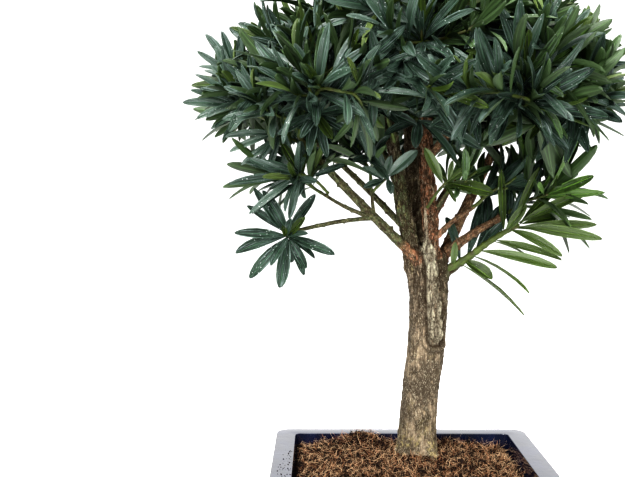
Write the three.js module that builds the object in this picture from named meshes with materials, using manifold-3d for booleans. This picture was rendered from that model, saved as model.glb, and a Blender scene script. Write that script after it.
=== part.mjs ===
// A podocarpus bonsai in a glazed rectangular pot. Millimetres, +Z up, front towards -Y.
// The origin is the centre of the pot's flat underside.
import * as THREE from "three";
import { mergeVertices } from "three/addons/utils/BufferGeometryUtils.js";
import Module from "manifold-3d";

const wasm = await Module();
wasm.setup();

// ---------------------------------------------------------------- driving dimensions

const CLEAR = 0.3; // gap between two pieces that rest on each other
const SUNK = 1; // how far shapes that are joined or cut run into each other

const POT = {
  width: 310,
  depth: 230,
  height: 85,
  corner: 17,
  rimWidth: 24,
  rimHeight: 12,
  rimRound: 2,
  wall: 9,
  bodyCorner: 14,
  floorTop: 16,
  taper: 15, // how far the walls come in between the rim and the floor
  footHeight: 8,
  footWidth: 58,
  footDepth: 44,
  footCorner: 8.5,
  footSetback: 4,
  plinthSetback: 27,
  arcSteps: 3,
};

const SOIL = {
  edge: 76, // level at the walls, 9 mm under the rim
  tilt: 0.02, // the level falls towards the right
  crest: 80, // level at the foot of the trunk
  flatRadius: 40,
  slopeLength: 40,
  heap: { x: -52, y: 62, rise: 12, radius: 20 },
  underside: 2,
  cells: [13, 9],
};

const TRUNK = {
  line: [[10.8, 31, 76], [13.5, 31, 121], [19.5, 31, 180], [24.5, 30, 225], [25, 30, 268], [22.5, 30, 308]],
  radius: 21.6,
  forkSwell: 4.5,
  forkFrom: 0.72, // share of the height where it starts to widen into the fork
  flare: 2.5,
  flareHeight: 12,
  roots: [
    { towards: 52, reach: 10 },
    { towards: 165, reach: 4 },
    { towards: 285, reach: 5 },
  ],
  furrows: [
    { count: 3, depth: 0.7, twist: 2.2 },
    { count: 7, depth: 0.5, twist: -3 },
  ],
  sides: 16,
  steps: 10,
};

// Each limb sets off from a root inside what carries it, on a bearing seen from above, in degrees from +X.
// climb is in degrees above level, and climb and radius are given at its root and at its tip.
function limb(name, root, bearing, climb, length, radius) {
  return { name, root, bearing, climb, length, radius };
}

const LIMBS = [
  limb("left_stem", [9, 27, 298], 186, [77, 84], 208, [11.5, 6.5]),
  limb("middle_stem", [12, 41, 296], 120, [83, 86], 262, [12, 5]),
  limb("front_stem", [28, 20, 292], 200, [87, 86], 212, [10.4, 7.4]),
  limb("low_left_bough", [10, 14, 309], 187, [43, 47], 176, [6, 3.6]),
  limb("high_left_bough", [2, 31, 337], 172, [48, 41], 150, [4, 2.9]),
  limb("hanging_twig", [-42, 7, 356], 184, [-4, -14], 78, [2.5, 2.1]),
  limb("left_spur", [-46, 7, 357], 178, [20, 34], 62, [2.3, 1.9]),
  limb("inner_twig", [-39, 7, 353], 200, [80, 86], 34, [2.2, 1.8]),
  limb("right_bough", [36, 39, 296], 14, [64, 62], 176, [7.4, 4.4]),
  limb("low_right_bough", [36, 26, 306], -4, [44, 26], 88, [5.8, 4.2]),
  limb("right_twig", [30, 15, 332], -16, [50, 30], 58, [3.5, 2.6]),
  limb("spur_twig", [32, 14, 366], -40, [58, 52], 20, [2.6, 2.1]),
  limb("green_shoot_base", [36, 23, 285], -8, [31, 33], 40, [3.4, 2.6]),
  limb("back_bough", [11, 47, 350], 84, [52, 44], 128, [5.6, 4]),
  limb("back_left_bough", [9, 45, 382], 132, [46, 38], 136, [5, 3.8]),
  limb("back_right_bough", [18, 43, 330], 45, [52, 42], 152, [5.6, 4]),
  limb("upper_right_bough", [8, 45, 440], 8, [50, 46], 98, [4.6, 3.6]),
  limb("front_right_bough", [25, 17, 428], 302, [36, 28], 104, [4.6, 3.4]),
];
const LIMB_STEP = 32; // length of one straight stretch of a limb
const STOUT = 8; // a limb with a larger radius than this at its root has more sides
const LIMB_SIDES = { stout: 8, slim: 5 };
const YOUNG = 3.5; // a limb with a smaller radius than this at its tip still has green bark
const FIRST_SEED = 101;

// The dome that the tips of the foliage fill: wide and low, with a flatter underside.
const DOME = { centre: [0, 26, 480], across: 255, along: 240, up: 183, down: 82 };

// Masses of foliage. One with a reach fills an ellipsoid of its own, with one shoot or more round its
// heart, and the rest share the dome, where each point belongs to the mass with the nearest heart.
const MASSES = [
  { name: "top_foliage", limb: "middle_stem", heart: [0, 41, 592] },
  { name: "upper_left_foliage", limb: "left_stem", heart: [-108, 19, 552] },
  { name: "upper_right_foliage", limb: "upper_right_bough", heart: [116, 31, 556] },
  { name: "upper_front_foliage", limb: "front_stem", heart: [14, -89, 552] },
  { name: "upper_back_foliage", limb: "back_bough", heart: [-4, 151, 545] },
  { name: "left_foliage", limb: "high_left_bough", heart: [-176, 17, 474] },
  { name: "left_front_foliage", limb: "low_left_bough", heart: [-102, -111, 478] },
  { name: "left_back_foliage", limb: "back_left_bough", heart: [-112, 161, 478] },
  { name: "right_foliage", limb: "right_bough", heart: [178, 27, 478] },
  { name: "right_front_foliage", limb: "front_right_bough", heart: [108, -113, 474] },
  { name: "right_back_foliage", limb: "back_right_bough", heart: [112, 163, 474] },
  { name: "inner_foliage", limb: "inner_twig", heart: [-46, 2, 428], reach: [52, 50, 58], leaf: 0.75 },
  {
    name: "hanging_foliage",
    limb: "hanging_twig",
    heart: [-138, -6, 335],
    reach: [74, 66, 70],
    axis: [-4, -8, -2],
  },
  {
    name: "spur_foliage",
    limb: "spur_twig",
    heart: [54, -16, 402],
    reach: [48, 50, 50],
    leaf: 0.75,
    young: true,
  },
  {
    name: "right_inner_foliage",
    limb: "right_twig",
    heart: [98, -8, 394],
    reach: [60, 58, 48],
    shoots: 2,
    leaf: 0.8,
  },
  { name: "low_left_foliage", limb: "left_spur", heart: [-130, 2, 405], reach: [92, 66, 44], shoots: 3 },
  {
    name: "low_right_foliage",
    limb: "low_right_bough",
    heart: [150, 26, 386],
    reach: [84, 72, 46],
    shoots: 3,
  },
  {
    name: "green_shoot_foliage",
    limb: "green_shoot_base",
    heart: [128, 6, 324],
    reach: [88, 66, 98],
    shoots: 3,
    leaf: 1.15,
    young: true,
  },
];

const SHOOTS = {
  count: 63, // tips spread over the dome
  tipDepth: 46, // from a tip to the outline that its leaves reach
  tipJitter: 8,
  lift: 0.5, // how far a tip turns up from straight outwards
  bare: 0.6, // the underside in front is bare within this share of the dome's reach
  bareBehind: 0.3, // and only in front of this share of the way to the back
  ownReach: 0.42, // how far out in an ellipsoid of its own a mass's tips are
  ownFlatness: 0.6, // and how much nearer to level than evenly round
  leafy: 28, // length of the stretch that bears leaves
  topLeaf: 3, // from the tip down to the highest leaf
  bud: 14, // the straight end of a mass's only shoot
  straight: 3, // the first stretch of a stem goes on the way its limb does
  ownFork: 0.45, // where a stem ends, as a share of the way to the heart of an ellipsoid
  domeFork: 0.75, // and to the heart of a mass that shares the dome
  pull: 0.38, // how far a twig runs straight at either end, as a share of its span
  turnCost: 0.7, // how much further away a point seems that a twig must turn back from
  stemShare: 0.92, // a stem's radius at its foot, as a share of its limb's
  radius: 2.2,
  swell: 0.5,
  sides: 3,
  bends: 3, // straight stretches of a twig
  stemBends: 2, // and of the stem of a mass of one shoot
};

const LEAF = {
  perShoot: 8,
  length: 72,
  width: 17,
  thickness: 1.8,
  widestAt: 0.45,
  sink: 0.6, // how far a leaf's root is behind the middle of its twig
  spread: [76, 26], // degrees from the twig at the lowest leaf and at the tip
  spreadJitter: 14,
  shortest: 0.84, // share of the length
  jitter: 0.3, // and how much longer than that a leaf may be
  shorterAtTip: 0.22,
  goldenAngle: 137.508,
  bow: 0.07, // how far the middle stands above the chord, as a share of the length
  margin: 1, // kept clear of the limbs and of other masses
  apart: 8, // from here outwards a leaf keeps clear of its neighbours
  // Where a leaf doesn't fit it tries another share of its length, and another way, in degrees
  // round its twig and away from it.
  tries: [
    [1, 0, 0],
    [1, 22, 0],
    [1, -22, 0],
    [1, 0, 16],
    [1, 0, -16],
    [0.84, 0, 0],
    [0.84, 30, 10],
    [0.84, -30, -10],
    [0.7, 0, 0],
    [0.7, 24, -12],
  ],
};

const COLOURS = {
  glaze: { color: 0x0b1230, roughness: 0.12, metalness: 0 },
  soil: { color: 0x5b3a25, roughness: 0.95, metalness: 0 },
  bark: { color: 0x7b6a52, roughness: 0.9, metalness: 0 },
  youngBark: { color: 0x5f6540, roughness: 0.7, metalness: 0 },
  foliage: { color: 0x24462f, roughness: 0.45, metalness: 0 },
  youngFoliage: { color: 0x5d8a32, roughness: 0.45, metalness: 0 },
};

// ---------------------------------------------------------------- small helpers

const vec = (x, y, z) => new THREE.Vector3(x, y, z);
const rad = THREE.MathUtils.degToRad;
const lerp = THREE.MathUtils.lerp;

// A seeded source of numbers from 0 to 1.
function dice(seed) {
  let state = seed >>> 0;
  return () => {
    state = (state + 0x6d2b79f5) >>> 0;
    let t = state;
    t = Math.imul(t ^ (t >>> 15), t | 1);
    t ^= t + Math.imul(t ^ (t >>> 7), t | 61);
    return ((t ^ (t >>> 14)) >>> 0) / 4294967296;
  };
}

function solidOf(geometry) {
  const bare = new THREE.BufferGeometry();
  bare.setAttribute("position", geometry.getAttribute("position").clone());
  if (geometry.index) bare.setIndex(geometry.index.clone());
  const merged = mergeVertices(bare, 1e-3);
  return new wasm.Manifold(
    new wasm.Mesh({
      numProp: 3,
      vertProperties: merged.attributes.position.array,
      triVerts: new Uint32Array(merged.index.array),
    }),
  );
}

function geometryOf(solid) {
  const { vertProperties, triVerts } = solid.getMesh();
  const geometry = new THREE.BufferGeometry();
  geometry.setAttribute("position", new THREE.BufferAttribute(vertProperties, 3));
  geometry.setIndex(new THREE.BufferAttribute(triVerts, 1));
  geometry.computeVertexNormals();
  return geometry;
}

// The largest body of a solid, without scraps that a cut or a skipped leaf has left loose.
function largestBody(solid) {
  const bodies = solid.decompose();
  return bodies.reduce((best, b) => (b.volume() > best.volume() ? b : best));
}

// Two vectors square to the path at each of its points, carried along it without twist.
function framesAlong(points) {
  let across = vec(1, 0, 0);
  return points.map((_, i) => {
    const next = points[Math.min(i + 1, points.length - 1)];
    const tangent = next.clone().sub(points[Math.max(i - 1, 0)]).normalize();
    if (Math.abs(tangent.dot(across)) > 0.95) across = vec(0, 0, 1);
    across = across.clone().addScaledVector(tangent, -across.dot(tangent)).normalize();
    return { tangent, across, beside: across.clone().cross(tangent) };
  });
}

// A cylinder bent along a path. grow makes it fatter and longer by that much.
function tube(points, radiusAt, sides, grow = 0) {
  const frames = framesAlong(points);
  const last = points.length - 1;
  const line = points.map((p) => p.clone());
  line[0].addScaledVector(frames[0].tangent, -grow);
  line[last].addScaledVector(frames[last].tangent, grow);
  const geometry = new THREE.CylinderGeometry(1, 1, 1, sides, last);
  const position = geometry.attributes.position;
  for (let i = 0; i < position.count; i++) {
    const t = position.getY(i) + 0.5;
    const k = Math.round(t * last);
    const [x, z] = [position.getX(i), position.getZ(i)];
    const reach = radiusAt(t, Math.atan2(z, x)) + grow;
    const p = line[k].clone().addScaledVector(frames[k].across, x * reach);
    p.addScaledVector(frames[k].beside, z * reach);
    position.setXYZ(i, p.x, p.y, p.z);
  }
  return geometry;
}

// ---------------------------------------------------------------- pot and soil

function roundedRectangle(width, depth, corner) {
  const [x, y] = [width / 2, depth / 2];
  const shape = new THREE.Shape();
  shape.moveTo(x, y - corner);
  shape.absarc(x - corner, y - corner, corner, 0, Math.PI / 2);
  shape.absarc(-x + corner, y - corner, corner, Math.PI / 2, Math.PI);
  shape.absarc(-x + corner, -y + corner, corner, Math.PI, 1.5 * Math.PI);
  shape.absarc(x - corner, -y + corner, corner, 1.5 * Math.PI, 2 * Math.PI);
  return shape;
}

function plate(width, depth, corner, from, to) {
  const options = { depth: to - from, bevelEnabled: false, curveSegments: POT.arcSteps };
  return new THREE.ExtrudeGeometry(roundedRectangle(width, depth, corner), options).translate(0, 0, from);
}

// Brings the walls of a plate in towards its bottom.
function pinch(geometry, from, to, inset) {
  const position = geometry.attributes.position;
  for (let i = 0; i < position.count; i++) {
    const share = (inset * (to - position.getZ(i))) / (to - from);
    position.setX(i, position.getX(i) - Math.sign(position.getX(i)) * share);
    position.setY(i, position.getY(i) - Math.sign(position.getY(i)) * share);
  }
  return geometry;
}

// The space inside the pot's walls, drawn in by a gap on every side.
function potInside(gap, top) {
  const { width, depth, height, rimWidth, corner, wall, floorTop, taper } = POT;
  const inner = [width - 2 * (rimWidth + gap), depth - 2 * (rimWidth + gap), corner - wall];
  return solidOf(pinch(plate(...inner, floorTop + gap, top), floorTop, height, taper));
}

function potSolid() {
  const { width, depth, height, corner, rimWidth, rimHeight, rimRound, wall, taper } = POT;
  const { footHeight, footWidth, footDepth, footCorner, footSetback, plinthSetback } = POT;
  const lip = rimWidth - wall;
  const underRim = height - rimHeight;
  const [from, to] = [footHeight, underRim + SUNK];
  const block = plate(width - 2 * lip, depth - 2 * lip, POT.bodyCorner, from, to);
  const rimShape = roundedRectangle(width - 2 * rimRound, depth - 2 * rimRound, corner - rimRound);
  const rim = new THREE.ExtrudeGeometry(rimShape, {
    depth: rimHeight - 2 * rimRound,
    bevelThickness: rimRound,
    bevelSize: rimRound,
    bevelSegments: 1,
    curveSegments: POT.arcSteps,
  }).translate(0, 0, underRim + rimRound);
  const bottom = { x: width / 2 - lip - taper, y: depth / 2 - lip - taper };
  const under = [2 * (bottom.x - plinthSetback), 2 * (bottom.y - plinthSetback)];
  const plinth = plate(...under, corner, 0, footHeight + SUNK);
  let pot = solidOf(pinch(block, from, to, taper)).add(solidOf(rim)).add(solidOf(plinth));
  for (const sx of [-1, 1]) {
    for (const sy of [-1, 1]) {
      const foot = plate(footWidth, footDepth, footCorner, 0, footHeight + SUNK).translate(
        sx * (bottom.x - footWidth / 2 - footSetback),
        sy * (bottom.y - footDepth / 2 - footSetback),
        0,
      );
      pot = pot.add(solidOf(foot));
    }
  }
  return pot.subtract(potInside(0, height + SUNK));
}

// The level of the soil: flat at the foot of the trunk, falling to the walls, with a small heap behind.
function soilLevel(x, y) {
  const [footX, footY] = TRUNK.line[0];
  const away = Math.max(0, Math.hypot(x - footX, y - footY) - SOIL.flatRadius) / SOIL.slopeLength;
  const { heap } = SOIL;
  const lump = Math.exp(-(((x - heap.x) / heap.radius) ** 2) - ((y - heap.y) / heap.radius) ** 2);
  const level = lerp(SOIL.edge - SOIL.tilt * x, SOIL.crest - CLEAR, Math.exp(-away * away));
  return level + heap.rise * lump * Math.min(1, away * 2);
}

// A block from below the pot's floor to the level of the soil, kept to the pot's inside.
function soilSolid() {
  const block = new THREE.BoxGeometry(POT.width, POT.depth, 2 * SOIL.underside, ...SOIL.cells, 1);
  const position = block.attributes.position;
  for (let i = 0; i < position.count; i++) {
    if (position.getZ(i) > 0) position.setZ(i, soilLevel(position.getX(i), position.getY(i)));
  }
  return solidOf(block).intersect(potInside(CLEAR, POT.height + 2 * SOIL.heap.rise));
}

// ---------------------------------------------------------------- trunk and limbs

function trunkParts() {
  const { line, radius, forkSwell, forkFrom, flare, flareHeight, roots, furrows, sides, steps } = TRUNK;
  const points = new THREE.CatmullRomCurve3(line.map((p) => vec(...p))).getSpacedPoints(steps);
  const height = line[line.length - 1][2] - line[0][2];
  const radiusAt = (t, angle) => {
    const foot = Math.exp((-t * height) / flareHeight);
    const rootAt = (r) => r.reach * Math.max(0, Math.cos(angle - rad(r.towards))) ** 6;
    const lobe = roots.reduce((sum, r) => sum + rootAt(r), flare);
    const ribs = furrows.reduce((sum, f) => sum + f.depth * Math.cos(f.count * angle + f.twist * t), 0);
    return radius + ribs + lobe * foot + (forkSwell * Math.max(0, t - forkFrom)) / (1 - forkFrom);
  };
  const ground = new THREE.BoxGeometry(POT.width, POT.depth, SOIL.crest);
  ground.translate(0, 0, SOIL.crest / 2);
  return {
    solid: solidOf(tube(points, radiusAt, sides)).subtract(solidOf(ground)),
    grown: solidOf(tube(points, radiusAt, sides, CLEAR)),
  };
}

// A limb's centre line: its heading stays, and its climb changes evenly along its length.
function limbPath({ root, bearing, climb, length }) {
  const steps = Math.max(2, Math.round(length / LIMB_STEP));
  const points = [vec(...root)];
  for (let i = 0; i < steps; i++) {
    const rise = rad(lerp(climb[0], climb[1], (i + 0.5) / steps));
    const flat = Math.cos(rise);
    const way = vec(Math.cos(rad(bearing)) * flat, Math.sin(rad(bearing)) * flat, Math.sin(rise));
    points.push(points[i].clone().addScaledVector(way, length / steps));
  }
  return points;
}

// Every limb is cut clear of the trunk and of the limbs made before it.
function limbParts(trunk) {
  const made = [{ name: "trunk", radius: TRUNK.radius, ...trunk }];
  for (const { name, radius, ...course } of LIMBS) {
    const points = limbPath(course);
    const radiusAt = (t) => lerp(radius[0], radius[1], t);
    const sides = radius[0] > STOUT ? LIMB_SIDES.stout : LIMB_SIDES.slim;
    let solid = solidOf(tube(points, radiusAt, sides));
    for (const earlier of made) {
      if (solid.intersect(earlier.grown).volume() > 0) solid = solid.subtract(earlier.grown);
    }
    const grown = solidOf(tube(points, radiusAt, sides, CLEAR));
    made.push({ name, points, radius: radius[1], solid: largestBody(solid), grown });
  }
  return made;
}

// ---------------------------------------------------------------- foliage

// How far out a point is in an ellipsoid: under 1 inside it.
function outness(p, [cx, cy, cz], [ax, ay, up, down = up]) {
  const az = p.z > cz ? up : down;
  return Math.hypot((p.x - cx) / ax, (p.y - cy) / ay, (p.z - cz) / az);
}

const domeRadii = [DOME.across, DOME.along, DOME.up, DOME.down];
const domeMasses = MASSES.filter((m) => !m.reach);
const ownMasses = MASSES.filter((m) => m.reach);

// The mass whose space a point lies in, if it lies in any.
function ownerOf(p) {
  const least = (masses, measure) => masses.reduce((best, m) => (measure(m) < measure(best) ? m : best));
  const nearest = least(ownMasses, (m) => outness(p, m.heart, m.reach));
  if (outness(p, nearest.heart, nearest.reach) < 1) return nearest;
  if (outness(p, DOME.centre, domeRadii) > 1) return null;
  return least(domeMasses, (m) => p.distanceTo(vec(...m.heart)));
}

// Points spread evenly over a sphere.
function evenDirections(count) {
  return Array.from({ length: count }, (_, i) => {
    const z = 1 - (2 * i + 1) / count;
    const flat = Math.sqrt(1 - z * z);
    const angle = rad(LEAF.goldenAngle) * i;
    return vec(flat * Math.cos(angle), flat * Math.sin(angle), z);
  });
}

// Tips of the twigs: over the dome's outline for the masses that share it, else round the heart.
function tipsOf(mass, random) {
  const heart = vec(...mass.heart);
  const lifted = (out) => out.clone().addScaledVector(vec(0, 0, 1), SHOOTS.lift).normalize();
  if (mass.reach) {
    return evenDirections(mass.shoots + 1).slice(0, mass.shoots).map((d) => {
      const out = vec(d.x, d.y, d.z * SHOOTS.ownFlatness);
      const tip = heart.clone().add(vec(...mass.reach).multiply(out).multiplyScalar(SHOOTS.ownReach));
      return { tip, axis: lifted(out.normalize()) };
    });
  }
  const found = [];
  for (const d of evenDirections(SHOOTS.count)) {
    const jitter = [random(), random(), random()].map((r) => (2 * r - 1) * SHOOTS.tipJitter);
    if (d.z < 0 && d.y < SHOOTS.bareBehind && Math.hypot(d.x, d.y) < SHOOTS.bare) continue;
    const radii = vec(DOME.across, DOME.along, d.z > 0 ? DOME.up : DOME.down);
    const out = d.clone().divide(radii).normalize();
    const tip = vec(...DOME.centre).add(d.clone().multiply(radii)).addScaledVector(out, -SHOOTS.tipDepth);
    tip.add(vec(...jitter));
    if (ownerOf(tip) === mass) found.push({ tip, axis: lifted(out) });
  }
  return found;
}

// A twig's centre line, from where it leaves its parent to its tip.
function twigPath(from, away, tip, axis, steps) {
  const pull = SHOOTS.pull * from.distanceTo(tip);
  const curve = new THREE.CubicBezierCurve3(
    from,
    from.clone().addScaledVector(away, pull),
    tip.clone().addScaledVector(axis, -pull),
    tip,
  );
  return curve.getPoints(steps);
}

// The twigs of a mass: a stem from the limb towards the heart, then a twig to each tip, nearest first,
// each from the point of those already grown that it reaches most easily. A mass of one shoot is all stem.
function growTwigs(mass, limb, random) {
  const last = limb.points.length - 1;
  const away = limb.points[last].clone().sub(limb.points[last - 1]).normalize();
  const start = limb.points[last].clone().addScaledVector(away, CLEAR);
  const bend = start.clone().addScaledVector(away, SHOOTS.straight);
  const heart = vec(...mass.heart);
  const inward = heart.clone().sub(start).normalize();
  const foot = limb.radius * SHOOTS.stemShare;
  if (mass.reach && !mass.shoots) {
    const axis = mass.axis ? vec(...mass.axis).normalize() : inward;
    const bud = heart.clone().addScaledVector(axis, -SHOOTS.bud);
    const path = [start, ...twigPath(bend, away, bud, axis, SHOOTS.stemBends), heart];
    return [{ path, radius: [foot, SHOOTS.radius], leafy: true }];
  }
  const fork = start.clone().lerp(heart, mass.reach ? SHOOTS.ownFork : SHOOTS.domeFork);
  const stem = [start, ...twigPath(bend, away, fork, inward, SHOOTS.bends)];
  const twigs = [{ path: stem, radius: [foot, SHOOTS.radius + SHOOTS.swell], leafy: false }];
  const nodes = stem.slice(1).map((p, i) => ({ p, way: p.clone().sub(stem[i]).normalize() }));
  const tips = tipsOf(mass, random).sort((a, b) => a.tip.distanceTo(start) - b.tip.distanceTo(start));
  for (const { tip, axis } of tips) {
    const cost = ({ p, way }) => {
      const gap = tip.clone().sub(p);
      return gap.length() * (1 + SHOOTS.turnCost * (1 - way.dot(gap.clone().normalize())));
    };
    const from = nodes.reduce((best, n) => (cost(n) < cost(best) ? n : best));
    const path = twigPath(from.p, from.way, tip, axis, SHOOTS.bends);
    const radius = [SHOOTS.radius + SHOOTS.swell, SHOOTS.radius];
    twigs.push({ path, radius, leafy: true });
    path.slice(1, -1).forEach((p, i) => nodes.push({ p, way: p.clone().sub(path[i]).normalize() }));
  }
  return twigs;
}

// The point of a path that is so far back from its tip, and the way the path goes there.
function backFrom(path, distance) {
  let rest = distance;
  for (let i = path.length - 1; i > 0; i--) {
    const step = path[i].clone().sub(path[i - 1]);
    const length = step.length();
    if (rest < length || i === 1) {
      const point = path[i].clone().addScaledVector(step, -rest / length);
      return { point, way: step.divideScalar(length) };
    }
    rest -= length;
  }
}

// A leaf: a long double pyramid with three sides, flat above and keeled below, bowed along its length.
function leafGeometry({ root, along, face, length }, margin = 0) {
  const side = face.clone().cross(along).normalize();
  const up = along.clone().cross(side);
  const geometry = new THREE.SphereGeometry(1, 3, 2);
  const position = geometry.attributes.position;
  for (let i = 0; i < position.count; i++) {
    const [x, y, z] = [position.getX(i), position.getY(i), position.getZ(i)];
    const t = y < 0 ? (y + 1) * LEAF.widestAt : lerp(LEAF.widestAt, 1, y);
    const lift = LEAF.bow * length * 4 * t * (1 - t) + x * (LEAF.thickness / 1.5 + margin);
    const p = root.clone();
    p.addScaledVector(along, t * (length + LEAF.sink + margin) - LEAF.sink);
    p.addScaledVector(side, Math.sign(Math.round(z)) * (LEAF.width / 2 + margin));
    p.addScaledVector(up, lift);
    position.setXYZ(i, p.x, p.y, p.z);
  }
  return geometry;
}

// Where each leaf of a shoot stands: in a spiral up the leafy stretch, spread wide at first and narrow
// at the tip. Each is a function of one of the tries.
function leavesOf(path, scale, random) {
  const phase = 360 * random();
  return Array.from({ length: LEAF.perShoot }, (_, i) => {
    const t = i / (LEAF.perShoot - 1);
    const { point, way } = backFrom(path, lerp(SHOOTS.leafy, SHOOTS.topLeaf, t));
    const across = vec(0, 0, 1).cross(way).normalize();
    const beside = way.clone().cross(across);
    const turn = phase + LEAF.goldenAngle * i;
    const spread = lerp(LEAF.spread[0], LEAF.spread[1], t) + LEAF.spreadJitter * (random() - 0.5);
    const share = LEAF.shortest + LEAF.jitter * random();
    const full = scale * LEAF.length * share * (1 - LEAF.shorterAtTip * t);
    return ([shrink, extraTurn, extraSpread]) => {
      const [a, b] = [rad(turn + extraTurn), rad(spread + extraSpread)];
      const out = across.clone().multiplyScalar(Math.cos(a)).addScaledVector(beside, Math.sin(a));
      return {
        root: point,
        along: way.clone().multiplyScalar(Math.cos(b)).addScaledVector(out, Math.sin(b)).normalize(),
        face: way.clone().multiplyScalar(Math.sin(b)).addScaledVector(out, -Math.cos(b)),
        length: full * shrink,
      };
    };
  });
}

const boxesMeet = (a, b) => [0, 1, 2].every((k) => a.min[k] <= b.max[k] && b.min[k] <= a.max[k]);

// Whether a solid stays clear of all that is already there.
function isClear(solid, obstacles) {
  const box = solid.boundingBox();
  return obstacles.every((o) => !boxesMeet(box, o.box) || solid.intersect(o.solid).isEmpty());
}

const obstacle = (solid) => ({ solid, box: solid.boundingBox() });

function massSolid(mass, limb, obstacles, seed) {
  const random = dice(seed);
  const grown = growTwigs(mass, limb, random).map((twig) => {
    const radiusAt = (t) => lerp(twig.radius[0], twig.radius[1], t);
    return { ...twig, solid: solidOf(tube(twig.path, radiusAt, SHOOTS.sides)) };
  });
  const twigs = grown.filter((twig) => isClear(twig.solid, obstacles));
  const own = twigs.map((twig) => obstacle(twig.solid));
  const bladeAt = (leaf) => {
    const geometry = leafGeometry(leaf);
    const position = geometry.attributes.position;
    for (let i = 0; i < position.count; i++) {
      if (ownerOf(vec().fromBufferAttribute(position, i)) !== mass) return null;
    }
    if (!isClear(solidOf(leafGeometry(leaf, LEAF.margin)), obstacles)) return null;
    const root = leaf.root.clone().addScaledVector(leaf.along, LEAF.apart);
    const free = solidOf(leafGeometry({ ...leaf, root, length: leaf.length - LEAF.apart }, LEAF.margin));
    return isClear(free, own) ? solidOf(geometry) : null;
  };
  for (const twig of twigs.filter((t) => t.leafy)) {
    for (const poseOf of leavesOf(twig.path, mass.leaf ?? 1, random)) {
      for (const attempt of LEAF.tries) {
        const blade = bladeAt(poseOf(attempt));
        if (!blade) continue;
        own.push(obstacle(blade));
        break;
      }
    }
  }
  return largestBody(wasm.Manifold.union(own.map((piece) => piece.solid)));
}

// ---------------------------------------------------------------- the plant

const plant = new THREE.Group();
plant.name = "podocarpus_bonsai";

function addGroup(name) {
  const group = new THREE.Group();
  group.name = name;
  plant.add(group);
  return group;
}

function addNode(group, name, solid, colour) {
  const mesh = new THREE.Mesh(geometryOf(solid), new THREE.MeshStandardMaterial(COLOURS[colour]));
  mesh.name = name;
  group.add(mesh);
}

const container = addGroup("container");
addNode(container, "pot", potSolid(), "glaze");
addNode(container, "soil", soilSolid(), "soil");

const wood = addGroup("wood");
const limbs = limbParts(trunkParts());
for (const { name, radius, solid } of limbs) {
  addNode(wood, name, solid, radius <= YOUNG ? "youngBark" : "bark");
}

const crown = addGroup("crown");
const obstacles = limbs.map((limb) => obstacle(limb.solid));
MASSES.forEach((mass, i) => {
  const limb = limbs.find((l) => l.name === mass.limb);
  const solid = massSolid(mass, limb, obstacles, FIRST_SEED + i);
  obstacles.push(obstacle(solid));
  addNode(crown, mass.name, solid, mass.young ? "youngFoliage" : "foliage");
});

export default plant;
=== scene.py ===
"""A podocarpus bonsai in a glazed rectangular pot: bark, leaves, soil and glaze over its fixed frame.

Lengths in the constants and in the growth rule are millimetres, and lengths in the settings are metres.
"""

import math

import bmesh
import bpy
import numpy as np
from bpy.props import FloatProperty, FloatVectorProperty, IntProperty, PointerProperty
from bpy.types import Operator, Panel, PropertyGroup
from mathutils import Euler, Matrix, Quaternion, Vector, noise
from mathutils.geometry import interpolate_bezier


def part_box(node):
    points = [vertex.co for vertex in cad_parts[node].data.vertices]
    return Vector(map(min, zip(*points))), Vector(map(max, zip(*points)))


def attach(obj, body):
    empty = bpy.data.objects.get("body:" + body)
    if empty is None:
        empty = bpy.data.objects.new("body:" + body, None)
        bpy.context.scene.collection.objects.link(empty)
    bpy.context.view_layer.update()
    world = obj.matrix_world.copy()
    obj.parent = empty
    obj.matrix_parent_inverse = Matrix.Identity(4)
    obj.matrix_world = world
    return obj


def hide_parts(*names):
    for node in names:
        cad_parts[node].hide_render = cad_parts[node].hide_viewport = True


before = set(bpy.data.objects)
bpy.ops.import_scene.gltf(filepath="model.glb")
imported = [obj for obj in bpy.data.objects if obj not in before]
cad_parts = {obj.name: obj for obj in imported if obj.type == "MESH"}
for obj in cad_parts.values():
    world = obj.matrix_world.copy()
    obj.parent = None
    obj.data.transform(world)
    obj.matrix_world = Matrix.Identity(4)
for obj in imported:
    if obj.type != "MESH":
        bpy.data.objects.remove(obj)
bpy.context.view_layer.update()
POT_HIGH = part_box("pot")[1]

bl_info = {
    "name": "Podocarpus Bonsai",
    "version": (1, 0, 0),
    "blender": (4, 5, 0),
    "location": "View3D > Sidebar > Bonsai",
    "description": "Builds a podocarpus bonsai with its bark, leaves, soil and glazed pot",
    "category": "Add Mesh",
}

MM = 0.001
UP = Vector((0, 0, 1))


# ------------------------------------------------------------------ the growth rule's own sizes

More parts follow.
